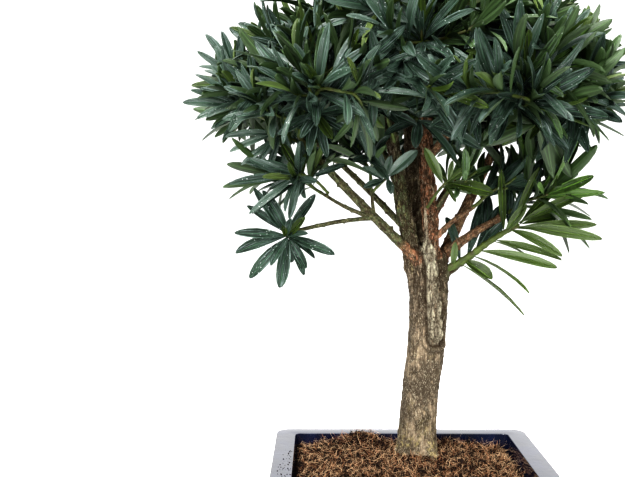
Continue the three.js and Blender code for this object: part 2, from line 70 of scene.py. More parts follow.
# Name, root, bearing, climb at root and tip, length, radius at root and tip, and kind of bark.
LIMBS = [
    ("left_stem", (9, 27, 298), 186, (77, 84), 208, (11.5, 6.5), "old"),
    ("middle_stem", (12, 41, 296), 120, (83, 86), 262, (12, 5), "old"),
    ("front_stem", (28, 20, 292), 200, (87, 86), 212, (10.4, 7.4), "red"),
    ("low_left_bough", (10, 14, 309), 187, (43, 47), 176, (6, 3.6), "green"),
    ("high_left_bough", (2, 31, 337), 172, (48, 41), 150, (4, 2.9), "green"),
    ("hanging_twig", (-42, 7, 356), 184, (-4, -14), 78, (2.5, 2.1), "green"),
    ("left_spur", (-46, 7, 357), 178, (20, 34), 62, (2.3, 1.9), "green"),
    ("inner_twig", (-39, 7, 353), 200, (80, 86), 34, (2.2, 1.8), "green"),
    ("right_bough", (36, 39, 296), 14, (64, 62), 176, (7.4, 4.4), "red"),
    ("low_right_bough", (36, 26, 306), -4, (44, 26), 88, (5.8, 4.2), "red"),
    ("right_twig", (30, 15, 332), -16, (50, 30), 58, (3.5, 2.6), "red"),
    ("spur_twig", (32, 14, 366), -40, (58, 52), 20, (2.6, 2.1), "green"),
    ("green_shoot_base", (36, 23, 285), -8, (31, 33), 40, (3.4, 2.6), "young"),
    ("back_bough", (11, 47, 350), 84, (52, 44), 128, (5.6, 4), "old"),
    ("back_left_bough", (9, 45, 382), 132, (46, 38), 136, (5, 3.8), "green"),
    ("back_right_bough", (18, 43, 330), 45, (52, 42), 152, (5.6, 4), "red"),
    ("upper_right_bough", (8, 45, 440), 8, (50, 46), 98, (4.6, 3.6), "old"),
    ("front_right_bough", (25, 17, 428), 302, (36, 28), 104, (4.6, 3.4), "red"),
]
STEMS = ("left_stem", "middle_stem", "front_stem")
SIDE_TWIGS = ("hanging_twig", "left_spur", "inner_twig")
LIMB_STEP = 32

TRUNK = {
    "line": [
        (10.8, 31, 70), (13.5, 31, 121), (19.5, 31, 180), (24.5, 30, 225), (25, 30, 268), (22.5, 30, 308),
    ],
    "radius": 21.6,
    "fork_swell": 4.5,
    "fork_from": 0.72,
    "flare": 2.5,
    "flare_height": 12,
    "ground": 80,
    "roots": [(52, 10), (165, 4), (285, 5)],
    "furrows": [(3, 0.7, 2.2), (7, 0.5, -3)],
}
# The bare ridge up the front of the trunk: points of its line, each with the ridge's radius there.
RIDGE = [
    (31, 21, 206, 8.6), (31.5, 18, 222, 11), (30, 16.5, 252, 11.6), (28.6, 17.5, 284, 11), (27, 19, 314, 9.6),
]
# How far back the marks of the ridge reach.
RIDGE_BACK = 24

# The line and the radius of the bark that closes the crevice between the middle stem and the front one.
CREVICE = [(18, 36, 296), (16.5, 37, 350), (15, 38, 410), (11, 44, 470)]
CREVICE_RADIUS = 4.4

DOME = {"centre": (0, 26, 480), "across": 255, "along": 240, "up": 183, "down": 82}

# Name, limb, heart, then the reach of an ellipsoid of its own, its shoots and how young its leaves are.
MASSES = [
    ("top_foliage", "middle_stem", (0, 41, 592), None, 0, 0),
    ("upper_left_foliage", "left_stem", (-108, 19, 552), None, 0, 0),
    ("upper_right_foliage", "upper_right_bough", (116, 31, 556), None, 0, 0),
    ("upper_front_foliage", "front_stem", (14, -89, 552), None, 0, 0),
    ("upper_back_foliage", "back_bough", (-4, 151, 545), None, 0, 0),
    ("left_foliage", "high_left_bough", (-176, 17, 474), None, 0, 0),
    ("left_front_foliage", "low_left_bough", (-102, -111, 478), None, 0, 0),
    ("left_back_foliage", "back_left_bough", (-112, 161, 478), None, 0, 0),
    ("right_foliage", "right_bough", (178, 27, 478), None, 0, 0),
    ("right_front_foliage", "front_right_bough", (108, -113, 474), None, 0, 0),
    ("right_back_foliage", "back_right_bough", (112, 163, 474), None, 0, 0),
    ("inner_foliage", "inner_twig", (-46, 2, 428), (52, 50, 58), 1, 0),
    ("hanging_foliage", "hanging_twig", (-138, -6, 335), (74, 66, 70), 1, 0),
    ("spur_foliage", "spur_twig", (54, -16, 402), (48, 50, 50), 1, 1),
    ("right_inner_foliage", "right_twig", (98, -8, 394), (60, 58, 48), 2, 0),
    ("low_left_foliage", "left_spur", (-130, 2, 405), (92, 66, 44), 3, 0),
    ("low_right_foliage", "low_right_bough", (150, 26, 386), (84, 72, 46), 3, 0),
    ("green_shoot_foliage", "green_shoot_base", (128, 6, 324), (88, 66, 98), 3, 1),
]
MASS_FIELDS = ("name", "limb", "heart", "reach", "shoots", "young")
# The greens of the upper sides, in the order of their materials, which those of the undersides follow.
DARK, MIDDLE, OLIVE, YOUNG, FRESH, UNDERSIDE = range(6)
FIRST_SEED = 101
GOLDEN_ANGLE = 137.508

SHOOTS = {
    "count": 63, "tip_depth": 46, "tip_jitter": 8, "lift": 0.5, "bare": 0.6, "bare_behind": 0.3,
    "own_reach": 0.42, "own_flatness": 0.6, "own_fork": 0.45, "dome_fork": 0.75, "turn_cost": 0.7,
    "sunk": 2, "straight": 3, "pull": 0.38, "bends": 3, "fine_bends": 12, "apart": 24, "ring": 7,
}

# The finer twigs that the rule is carried to: how many in a shell over the dome, and how deep it lies.
SHELLS = [(205, 38), (120, 84), (60, 128)]
# The spaces in front of the stems and of the green shoot that leaves keep out of: low, high and back, then
# the left and right sides, each with how much it leans to the left towards the front.
OPENINGS = [
    (300, 462, 14, (-28, 0.07), (37, 0.13)),
    (330, 432, 0, (72, 0.1), (138, 0.12)),
]
# The low and high corner of the space there that has no tips of twigs.
NO_TIPS = ((-45, -250, 400), (62, 20, 488))
SHELL_SPREAD = 36
FIRST_LIFT = 1.15
SHELL_LIFT = 1.3
OWN_SHELLS = [(3, 0.56), (2, 0.25)]

# Leaves seen from in front: share of the way up the twig, degrees from +X, length, lean to the front, width,
# and for some how many degrees they are turned about their own length.
HANGING_LEAVES = [
    (0.96, 176, 61, 0.2, 12), (0.98, 198, 63, 0.1, 14), (0.97, 227, 64, 0.05, 13), (1.0, 239, 45, 0.7, 10),
    (1.0, 261, 59, 0.15, 15), (0.9, 279, 34, -0.5, 9), (0.98, 301, 42, 0.4, 11), (0.94, 291, 50, -0.2, 10),
    (0.93, 320, 40, -0.3, 9), (0.96, 339, 58, 0.2, 13), (0.94, 125, 69, -0.2, 10), (0.92, 120, 60, 0.25, 14),
    (0.86, 147, 64, -0.4, 10), (0.96, 55, 57, 0.1, 11), (1.0, 72, 30, 0.9, 9), (1.0, 10, 32, 0.8, 9),
]
HANGING_YOUNG = [(1.0, 50, 36, 0.5, 9), (1.0, 104, 18, 0.8, 6)]
GREEN_LEAVES = [
    (0.22, 86, 32, 0.4, 8), (0.36, -35, 40, 0.5, 16), (0.42, -33, 82, 0.2, 11, -62),
    (0.3, -39, 96, 0.1, 10, -60), (0.52, -12, 90, 0.15, 12), (0.72, -17, 78, 0.2, 11),
    (0.7, -22, 44, 0.1, 8, -70), (0.84, 99, 82, 0.55, 9, -38), (0.86, 57, 42, 0.4, 11),
    (0.93, 73, 80, 0.4, 9, -40), (0.95, 3, 92, 0.1, 12), (1.0, 24, 88, 0.1, 12),
    (1.0, -8, 94, 0.4, 13), (1.0, 42, 74, -0.3, 11), (0.88, -28, 70, 0.6, 11), (1.0, 8, 70, -0.5, 11),
]
GREEN_DARK_LEAVES = [
    (0.4, 70, 78, -0.5, 13), (0.46, 58, 70, -0.4, 13), (0.84, 61, 102, -0.3, 14), (0.6, 80, 72, -0.7, 13),
    (0.3, 104, 62, -0.6, 11), (0.9, 84, 70, -0.6, 12), (0.5, 47, 46, -0.2, 13),
]
GREEN_LIMB = "green_shoot_base"
GREEN_STEM = [(30, 24, 289), (54, 20, 301), (71, 17, 312), (88, 12, 326), (109, 9, 340), (124, 7, 348)]
GREEN_STEM_RADII = (5.4, 2.6)

# Shoots that stand in front of the rest: the mass, the way its twig runs, then its leaves.
FRONT_SHOOTS = [
    ("upper_front_foliage", DARK, [(-20, -30, 440), (-31, -56, 472), (-32, -70, 505)], [
        (0.97, 156, 66, 0.3, 11), (0.98, 16, 74, 0.3, 12), (0.96, -16, 62, 0.4, 13), (0.93, -38, 48, 0.5, 13),
        (1.0, 105, 46, 0.3, 9), (1.0, 78, 52, -0.2, 10), (0.95, 200, 48, 0.6, 10), (0.9, 128, 60, -0.4, 11),
        (0.92, 48, 62, -0.4, 12), (0.9, 240, 40, 0.7, 10), (0.86, -66, 40, 0.6, 10), (1.0, 90, 30, 0.9, 7),
    ]),
    ("upper_front_foliage", DARK, [(6, -12, 452), (4, -32, 458), (3, -46, 465)], [
        (0.96, -25, 78, 0.2, 14), (0.94, -49, 64, 0.2, 11), (0.98, 6, 72, 0.2, 12), (0.97, 152, 52, 0.4, 12),
        (0.9, 204, 44, 0.4, 11), (0.9, 262, 34, 0.4, 12), (1.0, 70, 44, 0.5, 10), (1.0, 120, 40, 0.3, 10),
        (0.88, 30, 60, -0.2, 11),
    ]),
    ("inner_foliage", DARK, [(-42, 5, 385), (-33, 0, 395), (-26, -2, 401)], [
        (1.0, 43, 46, 0.3, 14), (0.95, 114, 42, 0.2, 13), (0.9, 150, 32, 0.4, 10), (1.0, 280, 20, 0.5, 9),
        (0.85, 200, 28, 0.3, 9), (0.9, 75, 32, 0.6, 9),
    ]),
    ("spur_foliage", YOUNG, [(20, 4, 368), (28, -14, 384), (37, -28, 397)], [
        (1.0, -13, 52, 0.35, 15), (0.9, 118, 46, 0.2, 11), (0.95, -60, 24, 0.2, 5), (1.0, 35, 36, 0.4, 9),
        (0.8, -5, 42, -0.2, 10), (1.0, 80, 24, 0.3, 6),
    ]),
    ("low_left_foliage", DARK, [(-92, 4, 384), (-106, -10, 398), (-123, -20, 405)], [
        (1.0, 188, 80, 0.1, 11), (0.9, 167, 68, 0.2, 14), (1.0, 218, 72, 0.1, 8), (0.95, 256, 52, 0.3, 9),
        (0.95, 205, 42, -0.2, 8), (0.8, 150, 54, -0.4, 11), (0.7, 20, 40, 0.2, 9), (0.9, 96, 44, -0.3, 10),
        (0.85, 240, 34, 0.5, 8),
    ]),
    ("low_left_foliage", YOUNG, [(-108, -12, 399), (-116, -17, 403), (-124, -21, 406)], [
        (1.0, 121, 38, 0.2, 10), (0.9, 80, 24, 0.3, 6),
    ]),
    ("left_foliage", DARK, [(-150, 10, 460), (-172, 4, 473), (-188, 0, 481)], [
        (1.0, 178, 66, 0.1, 11), (0.95, 163, 62, 0.2, 10), (0.9, 148, 66, 0.2, 10), (0.97, 196, 54, 0.2, 9),
        (0.9, 214, 48, 0.3, 8), (0.9, 128, 56, 0.1, 10), (0.85, 232, 44, 0.2, 8),
    ]),
    ("left_foliage", DARK, [(-165, 20, 488), (-182, 16, 503), (-195, 12, 514)], [
        (1.0, 126, 60, 0.1, 11), (0.95, 146, 56, 0.1, 8), (0.9, 108, 58, 0.2, 10), (0.97, 166, 46, 0.3, 9),
        (0.9, 86, 52, 0.2, 9),
    ]),
    ("left_foliage", DARK, [(-118, 8, 438), (-134, 2, 445), (-147, -4, 450)], [
        (1.0, 201, 60, 0.1, 8), (0.95, 217, 56, 0.1, 8), (0.9, 184, 64, 0.1, 9), (1.0, 234, 48, 0.2, 8),
        (0.9, 252, 44, 0.2, 8), (0.85, 128, 50, 0.2, 9), (0.7, 266, 46, 0.1, 8),
    ]),
]


# ------------------------------------------------------------------ settings

def number(name, description, default, **more):
    return FloatProperty(name=name, description=description, default=default, **more)


def length(name, description, default):
    return number(name, description, default, unit="LENGTH")


def colour(name, description, default):
    return FloatVectorProperty(name=name, description=description, default=default, subtype="COLOR", size=3)


class PotSettings(PropertyGroup):
    rim_width: length("Rim Width", "From the outside of the rim to the inside of the wall", 0.024)
    rim_height: length("Rim Height", "Height of the band round the top", 0.012)
    wall: length("Wall", "Thickness of the wall at the rim", 0.009)
    taper: length("Taper", "How far the walls come in from rim to floor", 0.015)
    foot_height: length("Foot Height", "Height of the feet", 0.008)
    corner: length("Corner", "Radius of the corners seen from above", 0.017)
    glaze: colour("Glaze", "Colour of the glaze where it is thick", (0.003, 0.0055, 0.02))
    thin_glaze: colour("Thin Glaze", "Colour of the glaze on edges", (0.022, 0.032, 0.075))


class SoilSettings(PropertyGroup):
    cell: length("Cell", "Size of one face of the soil", 0.0019)
    lump: length("Lump", "Height of the lumps", 0.0034)
    ditch: length("Ditch", "How much lower the soil lies along the wall", 0.0065)
    fibres: number("Fibres", "Fibres on a square metre", 200000)
    crumbs: number("Crumbs", "Crumbs on a square metre", 36000)
    soil: colour("Soil", "Colour of the soil between the fibres", (0.014, 0.007, 0.004))
    fibre: colour("Fibre", "Colour of the coir", (0.42, 0.205, 0.105))
    straw: colour("Straw", "Colour of the pale fibres", (0.88, 0.6, 0.36))
    crumb: colour("Crumb", "Colour of the dark crumbs", (0.02, 0.011, 0.008))


class BarkSettings(PropertyGroup):
    voxel: length("Voxel", "Size of one face of the trunk", 0.00112)
    relief: length("Relief", "Depth of the furrows", 0.0012)
    flakes: number("Flakes", "Loose flakes on a square metre", 7000)
    old: colour("Old Bark", "Colour of the ribs of old bark", (0.315, 0.247, 0.168))
    # The furrows' colour is also the colour of the painted shade on the bark.
    furrow_and_shade: colour("Furrow", "Colour of the furrows", (0.045, 0.03, 0.017))
    red: colour("Red Bark", "Colour of fresh flaky bark", (0.4, 0.18, 0.095))
    pale: colour("Dead Wood", "Colour of bare wood", (0.86, 0.78, 0.58))
    green: colour("Green Bark", "Colour of the bark of the boughs", (0.066, 0.084, 0.038))
    moss: colour("Lichen", "Colour of the lichen at the foot", (0.52, 0.43, 0.2))


class LeafSettings(PropertyGroup):
    longest: length("Longest", "Length of a long leaf of a weak shoot", 0.069)
    slimness: number("Slimness", "Length divided by width", 6.2)
    per_shoot: IntProperty(name="Leaves", description="Leaves on an outer shoot", default=15)
    dark: colour("Dark Leaf", "Colour of an old leaf", (0.034, 0.06, 0.04))
    middle: colour("Middle Leaf", "Colour of a leaf of last year", (0.057, 0.1, 0.034))
    olive: colour("Olive Leaf", "Colour of a leaf in the sun", (0.083, 0.15, 0.034))
    young: colour("Young Leaf", "Colour of a leaf of the green shoot", (0.045, 0.073, 0.0135))
    fresh: colour("Fresh Leaf", "Colour of the newest leaves", (0.092, 0.13, 0.036))
    under: colour("Underside", "Colour below the leaf", (0.038, 0.066, 0.024))
    twig: colour("Twig", "Colour of the leafy twigs", (0.075, 0.105, 0.018))


class StageSettings(PropertyGroup):
    camera_place: FloatVectorProperty(
        name="Camera", description="Where the camera stands", default=(-0.102, -1.0684, 0.401),
        subtype="TRANSLATION", size=3,
    )
    camera_turn: number("Turn", "Heading, to the left of +Y", math.radians(0.4), subtype="ANGLE")
    camera_dip: number("Dip", "How far the camera looks down", math.radians(3.644), subtype="ANGLE")
    lens: number("Lens", "Focal length in millimetres", 54.72)
    backdrop: number("Backdrop", "Brightness of the white room as it is seen", 1.0)
    room_light: number("Room Light", "Brightness of the light from all round", 0.1)
    floor_radius: length("Floor Radius", "How far the floor reaches", 1.3)


# ------------------------------------------------------------------ meshes

def new_piece(name, points, faces, materials, which=None, smooth=True, uv=None, values=None):
    """A mesh object from points in millimetres. Each array in faces holds faces of equally many corners."""
    mesh = bpy.data.meshes.new(name)
    mesh.vertices.add(len(points))
    mesh.vertices.foreach_set("co", (np.asarray(points, np.float32) * MM).ravel())
    counts = np.concatenate([np.full(len(f), f.shape[1], np.int32) for f in faces])
    corners = np.concatenate([f.ravel() for f in faces]).astype(np.int32)
    mesh.loops.add(len(corners))
    mesh.loops.foreach_set("vertex_index", corners)
    mesh.polygons.add(len(counts))
    mesh.polygons.foreach_set("loop_start", np.concatenate([[0], np.cumsum(counts)[:-1]]).astype(np.int32))
    mesh.polygons.foreach_set("use_smooth", np.full(len(counts), smooth))
    if which is not None:
        mesh.polygons.foreach_set("material_index", np.asarray(which, np.int32))
    if uv is not None:
        mesh.uv_layers.new(name="along").data.foreach_set("uv", np.asarray(uv, np.float32)[corners].ravel())
    add_values(mesh, values or {})
    for material in materials:
        mesh.materials.append(material)
    mesh.update(calc_edges=True)
    return add_object(name, mesh)


def add_values(mesh, values):
    """Keeps values for the points of a mesh, as attributes that the materials read."""
    for key, value in values.items():
        mesh.attributes.new(key, "FLOAT", "POINT").data.foreach_set("value", np.asarray(value, np.float32))


def dress(piece, material):
    """Gives a piece smooth faces and one material."""
    piece.data.polygons.foreach_set("use_smooth", [True] * len(piece.data.polygons))
    piece.data.materials.clear()
    piece.data.materials.append(material)


def mesh_from(work, name):
    """A mesh from a bmesh, which is freed."""
    mesh = bpy.data.meshes.new(name)
    work.to_mesh(mesh)
    work.free()
    return mesh


def add_object(name, mesh):
    piece = bpy.data.objects.new(name, mesh)
    bpy.context.scene.collection.objects.link(piece)
    return piece


def finish_piece(piece, slot, *nodes):
    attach(piece, "root")
    if nodes:
        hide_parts(*nodes)


def settle(piece):
    """Turns what a piece's modifiers make into its plain mesh."""
    graph = bpy.context.evaluated_depsgraph_get()
    mesh = bpy.data.meshes.new_from_object(piece.evaluated_get(graph), depsgraph=graph)
    mesh.name = piece.name
    piece.modifiers.clear()
    piece.data = mesh


def arrays_of(mesh):
    points = np.empty(len(mesh.vertices) * 3, np.float32)
    normals = np.empty(len(mesh.vertices) * 3, np.float32)
    mesh.vertices.foreach_get("co", points)
    mesh.vertices.foreach_get("normal", normals)
    return points.reshape(-1, 3), normals.reshape(-1, 3)


def angles_round(count):
    return np.linspace(0, 2 * math.pi, count, endpoint=False)


def frames_along(path):
    """The way along a path at each point, and two ways square to it, carried along without twist."""
    ways = np.gradient(path, axis=0)
    ways /= np.linalg.norm(ways, axis=1)[:, None]
    across = np.empty_like(ways)
    last = np.array((1.0, 0, 0)) if abs(ways[0][0]) < 0.9 else np.array((0, 0, 1.0))
    for i, way in enumerate(ways):
        last = last - way * last.dot(way)
        last /= np.linalg.norm(last)
        across[i] = last
    return ways, across, np.cross(ways, across)


def tube(path, radii, sides):
    """Points and faces of a closed tube. radii has one radius for each ring, or for each point of each."""
    path = np.asarray(path, float)
    rings = len(path)
    ways, across, beside = frames_along(path)
    turn = angles_round(sides)
    radii = np.asarray(radii, float)
    radii = radii[:, None] if radii.ndim == 1 else radii
    out = across[:, None] * np.cos(turn)[:, None] + beside[:, None] * np.sin(turn)[:, None]
    points = (path[:, None] + out * radii[..., None]).reshape(-1, 3)
    ends = (path[0] - ways[0] * 0.3 * radii[0].mean(), path[-1] + ways[-1] * 0.3 * radii[-1].mean())
    points = np.vstack([points, *ends])
    row, side = np.meshgrid(np.arange(rings - 1), np.arange(sides), indexing="ij")
    low, high = row * sides + side, row * sides + (side + 1) % sides
    walls = np.stack([low, high, high + sides, low + sides], -1).reshape(-1, 4)
    j = np.arange(sides)
    k = (j + 1) % sides
    end = (rings - 1) * sides
    first = np.stack([np.full(sides, rings * sides), k, j], -1)
    last = np.stack([np.full(sides, rings * sides + 1), end + j, end + k], -1)
    return points, walls, np.vstack([first, last])


def join_parts(parts):
    """Several (points, quads, triangles) as one."""
    offsets = np.cumsum([0] + [len(p[0]) for p in parts[:-1]])
    points = np.vstack([p[0] for p in parts])
    quads = np.vstack([p[1] + o for p, o in zip(parts, offsets)])
    triangles = np.vstack([p[2] + o for p, o in zip(parts, offsets)])
    return points, quads, triangles


def resample(path, step):
    """The same path with points a step apart."""
    path = np.asarray(path, float)
    run = np.concatenate([[0], np.cumsum(np.linalg.norm(np.diff(path, axis=0), axis=1))])
    at = np.linspace(0, run[-1], max(3, int(run[-1] / step) + 1))
    return np.stack([np.interp(at, run, path[:, k]) for k in range(3)], -1)


def smooth_path(path, step):
    """A rounded path through the points of another."""
    points = [Vector(p) for p in path]
    last = len(points) - 1
    ways = [(points[min(i + 1, last)] - points[max(i - 1, 0)]).normalized() for i in range(last + 1)]
    line = []
    for i in range(last):
        pull = (points[i + 1] - points[i]).length / 3
        knots = (points[i], points[i] + ways[i] * pull, points[i + 1] - ways[i + 1] * pull, points[i + 1])
        line += interpolate_bezier(*knots, 12)[:-1]
    return resample([*line, points[-1]], step)


def rough(points, size, stretch=1.0, offset=0.0):
    """Noise at each point, of features of that size, drawn out along Z."""
    grain = np.asarray(points, float) / size
    grain[:, 2] /= stretch
    grain += offset
    return np.array([noise.noise(Vector(p)) for p in grain])


def smoothstep(low, high, value):
    """Eases from 0 at low to 1 at high, whichever of the two is larger."""
    t = np.clip((value - low) / (high - low), 0, 1)
    return t * t * (3 - 2 * t)


# ------------------------------------------------------------------ the growth rule

def dice(seed):
    """A seeded source of numbers from 0 to 1."""
    state = seed

    def roll():
        nonlocal state
        state = (state + 0x6D2B79F5) & 0xFFFFFFFF
        t = ((state ^ (state >> 15)) * (state | 1)) & 0xFFFFFFFF
        t ^= (t + (t ^ (t >> 7)) * (t | 61)) & 0xFFFFFFFF
        return (t ^ (t >> 14)) / 4294967296

    return roll


def limb_path(root, bearing, climb, span):
    steps = max(2, round(span / LIMB_STEP))
    points = [Vector(root)]
    for i in range(steps):
        rise = math.radians(climb[0] + (climb[1] - climb[0]) * (i + 0.5) / steps)
        flat = math.cos(rise)
        turn = math.radians(bearing)
        way = Vector((math.cos(turn) * flat, math.sin(turn) * flat, math.sin(rise)))
        points.append(points[i] + way * (span / steps))
    return points


LIMB_PATHS = {name: limb_path(root, bearing, climb, span) for name, root, bearing, climb, span, _, _ in LIMBS}
LIMB_RADII = {name: radius for name, _, _, _, _, radius, _ in LIMBS}
MASS_LIST = [dict(zip(MASS_FIELDS, row)) for row in MASSES]
DOME_MASSES = [m for m in MASS_LIST if not m["reach"]]
OWN_MASSES = [m for m in MASS_LIST if m["reach"]]


def limb_end(mass):
    """The tip of a mass's limb, the way it points there, and its radius there."""
    before, tip = LIMB_PATHS[mass["limb"]][-2:]
    return tip, (tip - before).normalized(), LIMB_RADII[mass["limb"]][1]


def outness(p, centre, across, along, up, down):
    """How far out a point is in an ellipsoid: under 1 inside it."""
    x, y, z = p[0] - centre[0], p[1] - centre[1], p[2] - centre[2]
    return math.hypot(x / across, y / along, z / (up if z > 0 else down))


def dome_outness(p):
    return outness(p, DOME["centre"], DOME["across"], DOME["along"], DOME["up"], DOME["down"])


def own_outness(p, mass):
    across, along, up = mass["reach"]
    return outness(p, mass["heart"], across, along, up, up)


def owner_of(p):
    """The mass whose space a point lies in, if it lies in any."""
    nearest = min(OWN_MASSES, key=lambda m: own_outness(p, m))
    if own_outness(p, nearest) < 1:
        return nearest
    if dome_outness(p) > 1:
        return None
    return min(DOME_MASSES, key=lambda m: (p - Vector(m["heart"])).length)


def even_directions(count):
    """Points spread evenly over a sphere."""
    ways = []
    for i in range(count):
        z = 1 - (2 * i + 1) / count
        flat = math.sqrt(1 - z * z)
        angle = math.radians(GOLDEN_ANGLE) * i
        ways.append(Vector((flat * math.cos(angle), flat * math.sin(angle), z)))
    return ways


def lifted(out, lift):
    return (out + UP * lift).normalized()


def drawn_in(way):
    """How much deeper the twigs end where the crown is open: high on the left, and low on the left."""
    left_high = smoothstep(0.3, 0.65, way.z) * smoothstep(0.15, 0.7, -way.x) * smoothstep(0.5, 0.1, way.y)
    left_low = smoothstep(0.0, 0.45, -way.z) * smoothstep(0.4, 0.8, -way.x)
    return 42 * left_high + 26 * left_low


def dome_tips(mass, roll, count, depth, spread, lift):
    """Tips of twigs in a shell under the dome's outline, bare in front of the underside."""
    found = []
    for way in even_directions(count):
        jitter = Vector([(2 * roll() - 1) * SHOOTS["tip_jitter"] for _ in range(3)])
        if way.z < 0 and way.y < SHOOTS["bare_behind"] and math.hypot(way.x, way.y) < SHOOTS["bare"]:
            continue
        radii = Vector((DOME["across"], DOME["along"], DOME["up"] if way.z > 0 else DOME["down"]))
        out = Vector([w / r for w, r in zip(way, radii)]).normalized()
        sunk = depth + drawn_in(way) + spread * roll() ** 1.5
        tip = Vector(DOME["centre"]) + Vector([w * r for w, r in zip(way, radii)]) - out * sunk + jitter
        if owner_of(tip) is mass and not inside(tip, NO_TIPS):
            found.append((tip, lifted(out, lift)))
    return found


def own_tips(mass, count, reach):
    tips = []
    for way in even_directions(count + 1)[:count]:
        out = Vector((way.x, way.y, way.z * SHOOTS["own_flatness"]))
        tip = Vector(mass["heart"]) + Vector([r * o for r, o in zip(mass["reach"], out)]) * reach
        tips.append((tip, lifted(out.normalized(), SHOOTS["lift"])))
    return tips


def twig_path(start, away, tip, axis, steps):
    pull = SHOOTS["pull"] * (tip - start).length
    return interpolate_bezier(start, start + away * pull, tip - axis * pull, tip, steps + 1)


def steps_of(line):
    """Each point of a line after the first, with the way the line comes to it."""
    return [(p, (p - q).normalized()) for p, q in zip(line[1:], line)]


def grow_twigs(mass, roll):
    """A mass's stem and twigs, each with its path, its radii and how much of a shoot's leaves it bears."""
    end, away, foot = limb_end(mass)
    start = end - away * SHOOTS["sunk"]
    bend = end + away * SHOOTS["straight"]
    heart = Vector(mass["heart"])
    inward = (heart - start).normalized()
    fork = start.lerp(heart, SHOOTS["own_fork"] if mass["reach"] else SHOOTS["dome_fork"])
    coarse = [start, *twig_path(bend, away, fork, inward, SHOOTS["bends"])]
    fine = [start, *twig_path(bend, away, fork, inward, SHOOTS["fine_bends"])]
    twigs = [{"path": fine, "radius": (foot, 1.9), "share": 0}]
    nodes = steps_of(coarse)
    if mass["reach"]:
        rounds = [(own_tips(mass, mass["shoots"], SHOOTS["own_reach"]), 1)]
        rounds += [(own_tips(mass, count, reach), 0.6) for count, reach in OWN_SHELLS]
    else:
        rounds = [(dome_tips(mass, roll, SHOOTS["count"], SHOOTS["tip_depth"], 0, FIRST_LIFT), 1)]
        for count, depth in SHELLS:
            share = 1 if depth < SHOOTS["tip_depth"] else 0.7
            rounds.append((dome_tips(mass, roll, count, depth, SHELL_SPREAD, SHELL_LIFT), share))
    taken = []
    for level, (tips, share) in enumerate(rounds):
        for tip, axis in sorted(tips, key=lambda t: (t[0] - start).length):
            if any((tip - other).length < SHOOTS["apart"] for other in taken):
                continue
            taken.append(tip)
            source, way = min(nodes, key=lambda n: reach_cost(n, tip))
            steps = max(5, int((tip - source).length / SHOOTS["ring"]))
            radius = (2.0, 1.5) if level == 0 else (1.6, 1.2)
            twigs.append({"path": twig_path(source, way, tip, axis, steps), "radius": radius, "share": share})
            nodes += steps_of(twig_path(source, way, tip, axis, SHOOTS["bends"])[:-1])
    return twigs


def reach_cost(node, tip):
    """How hard a tip is to reach from a node: its distance, and more for a turn."""
    point, way = node
    gap = tip - point
    return gap.length * (1 + SHOOTS["turn_cost"] * (1 - way.dot(gap.normalized())))


def back_from(path, distance):
    """The point of a path that is so far back from its tip, and the way the path goes there."""
    rest = distance
    for end, start in zip(path[::-1], path[-2::-1]):
        step = end - start
        if rest < step.length or start is path[0]:
            return end - step.normalized() * min(rest, step.length), step.normalized()
        rest -= step.length


# ------------------------------------------------------------------ leaves

LEAF_STATIONS = (0.04, 0.13, 0.25, 0.41, 0.58, 0.75, 0.89, 0.97)
# Across and up at each point round a leaf's section. The last one is below the rib.
LEAF_SECTION = ((-1, -0.1), (-0.5, 0.3), (0, -0.3), (0.5, 0.3), (1, -0.1), (0, -0.95))
# The points of the section where a crease runs along the leaf: its two margins and the rib.
CREASES = (0, 2, 4)
FREE_LEAF_POINTS = (0.35, 0.7, 1.0)


def leaf_outline(t):
    """Half the width at a share of the length: a narrow stalk, a long strap and a blunt point."""
    widening = math.sin(math.pi / 2 * min(1, t / 0.56)) ** 0.95
    narrowing = max(0, (t - 0.56) / 0.44) ** 2.3
    return widening * (1 - narrowing) ** 0.62


def leaf_template():
    """Shares along, across and up of each point of a leaf, and its faces, with the underside's marked."""
    rows = [(0, 0, 0, 0)]
    for t in LEAF_STATIONS:
        wide = leaf_outline(t)
        rows += [(t, s * wide, u * wide ** 0.5, s) for s, u in LEAF_SECTION]
    rows += [(1, 0, 0, 0)]
    width = len(LEAF_SECTION)
    quads, quad_under, triangles, triangle_under = [], [], [], []
    end = len(rows) - 1
    first_of_last = end - width
    for k in range(width):
        n = (k + 1) % width
        under = k >= width - 2
        for i in range(len(LEAF_STATIONS) - 1):
            a = 1 + i * width
            quads.append((a + k, a + width + k, a + width + n, a + n))
            quad_under.append(under)
        triangles += [(0, 1 + k, 1 + n), (end, first_of_last + n, first_of_last + k)]
        triangle_under += [under, under]
    return [np.array(part) for part in (rows, quads, quad_under, triangles, triangle_under)]


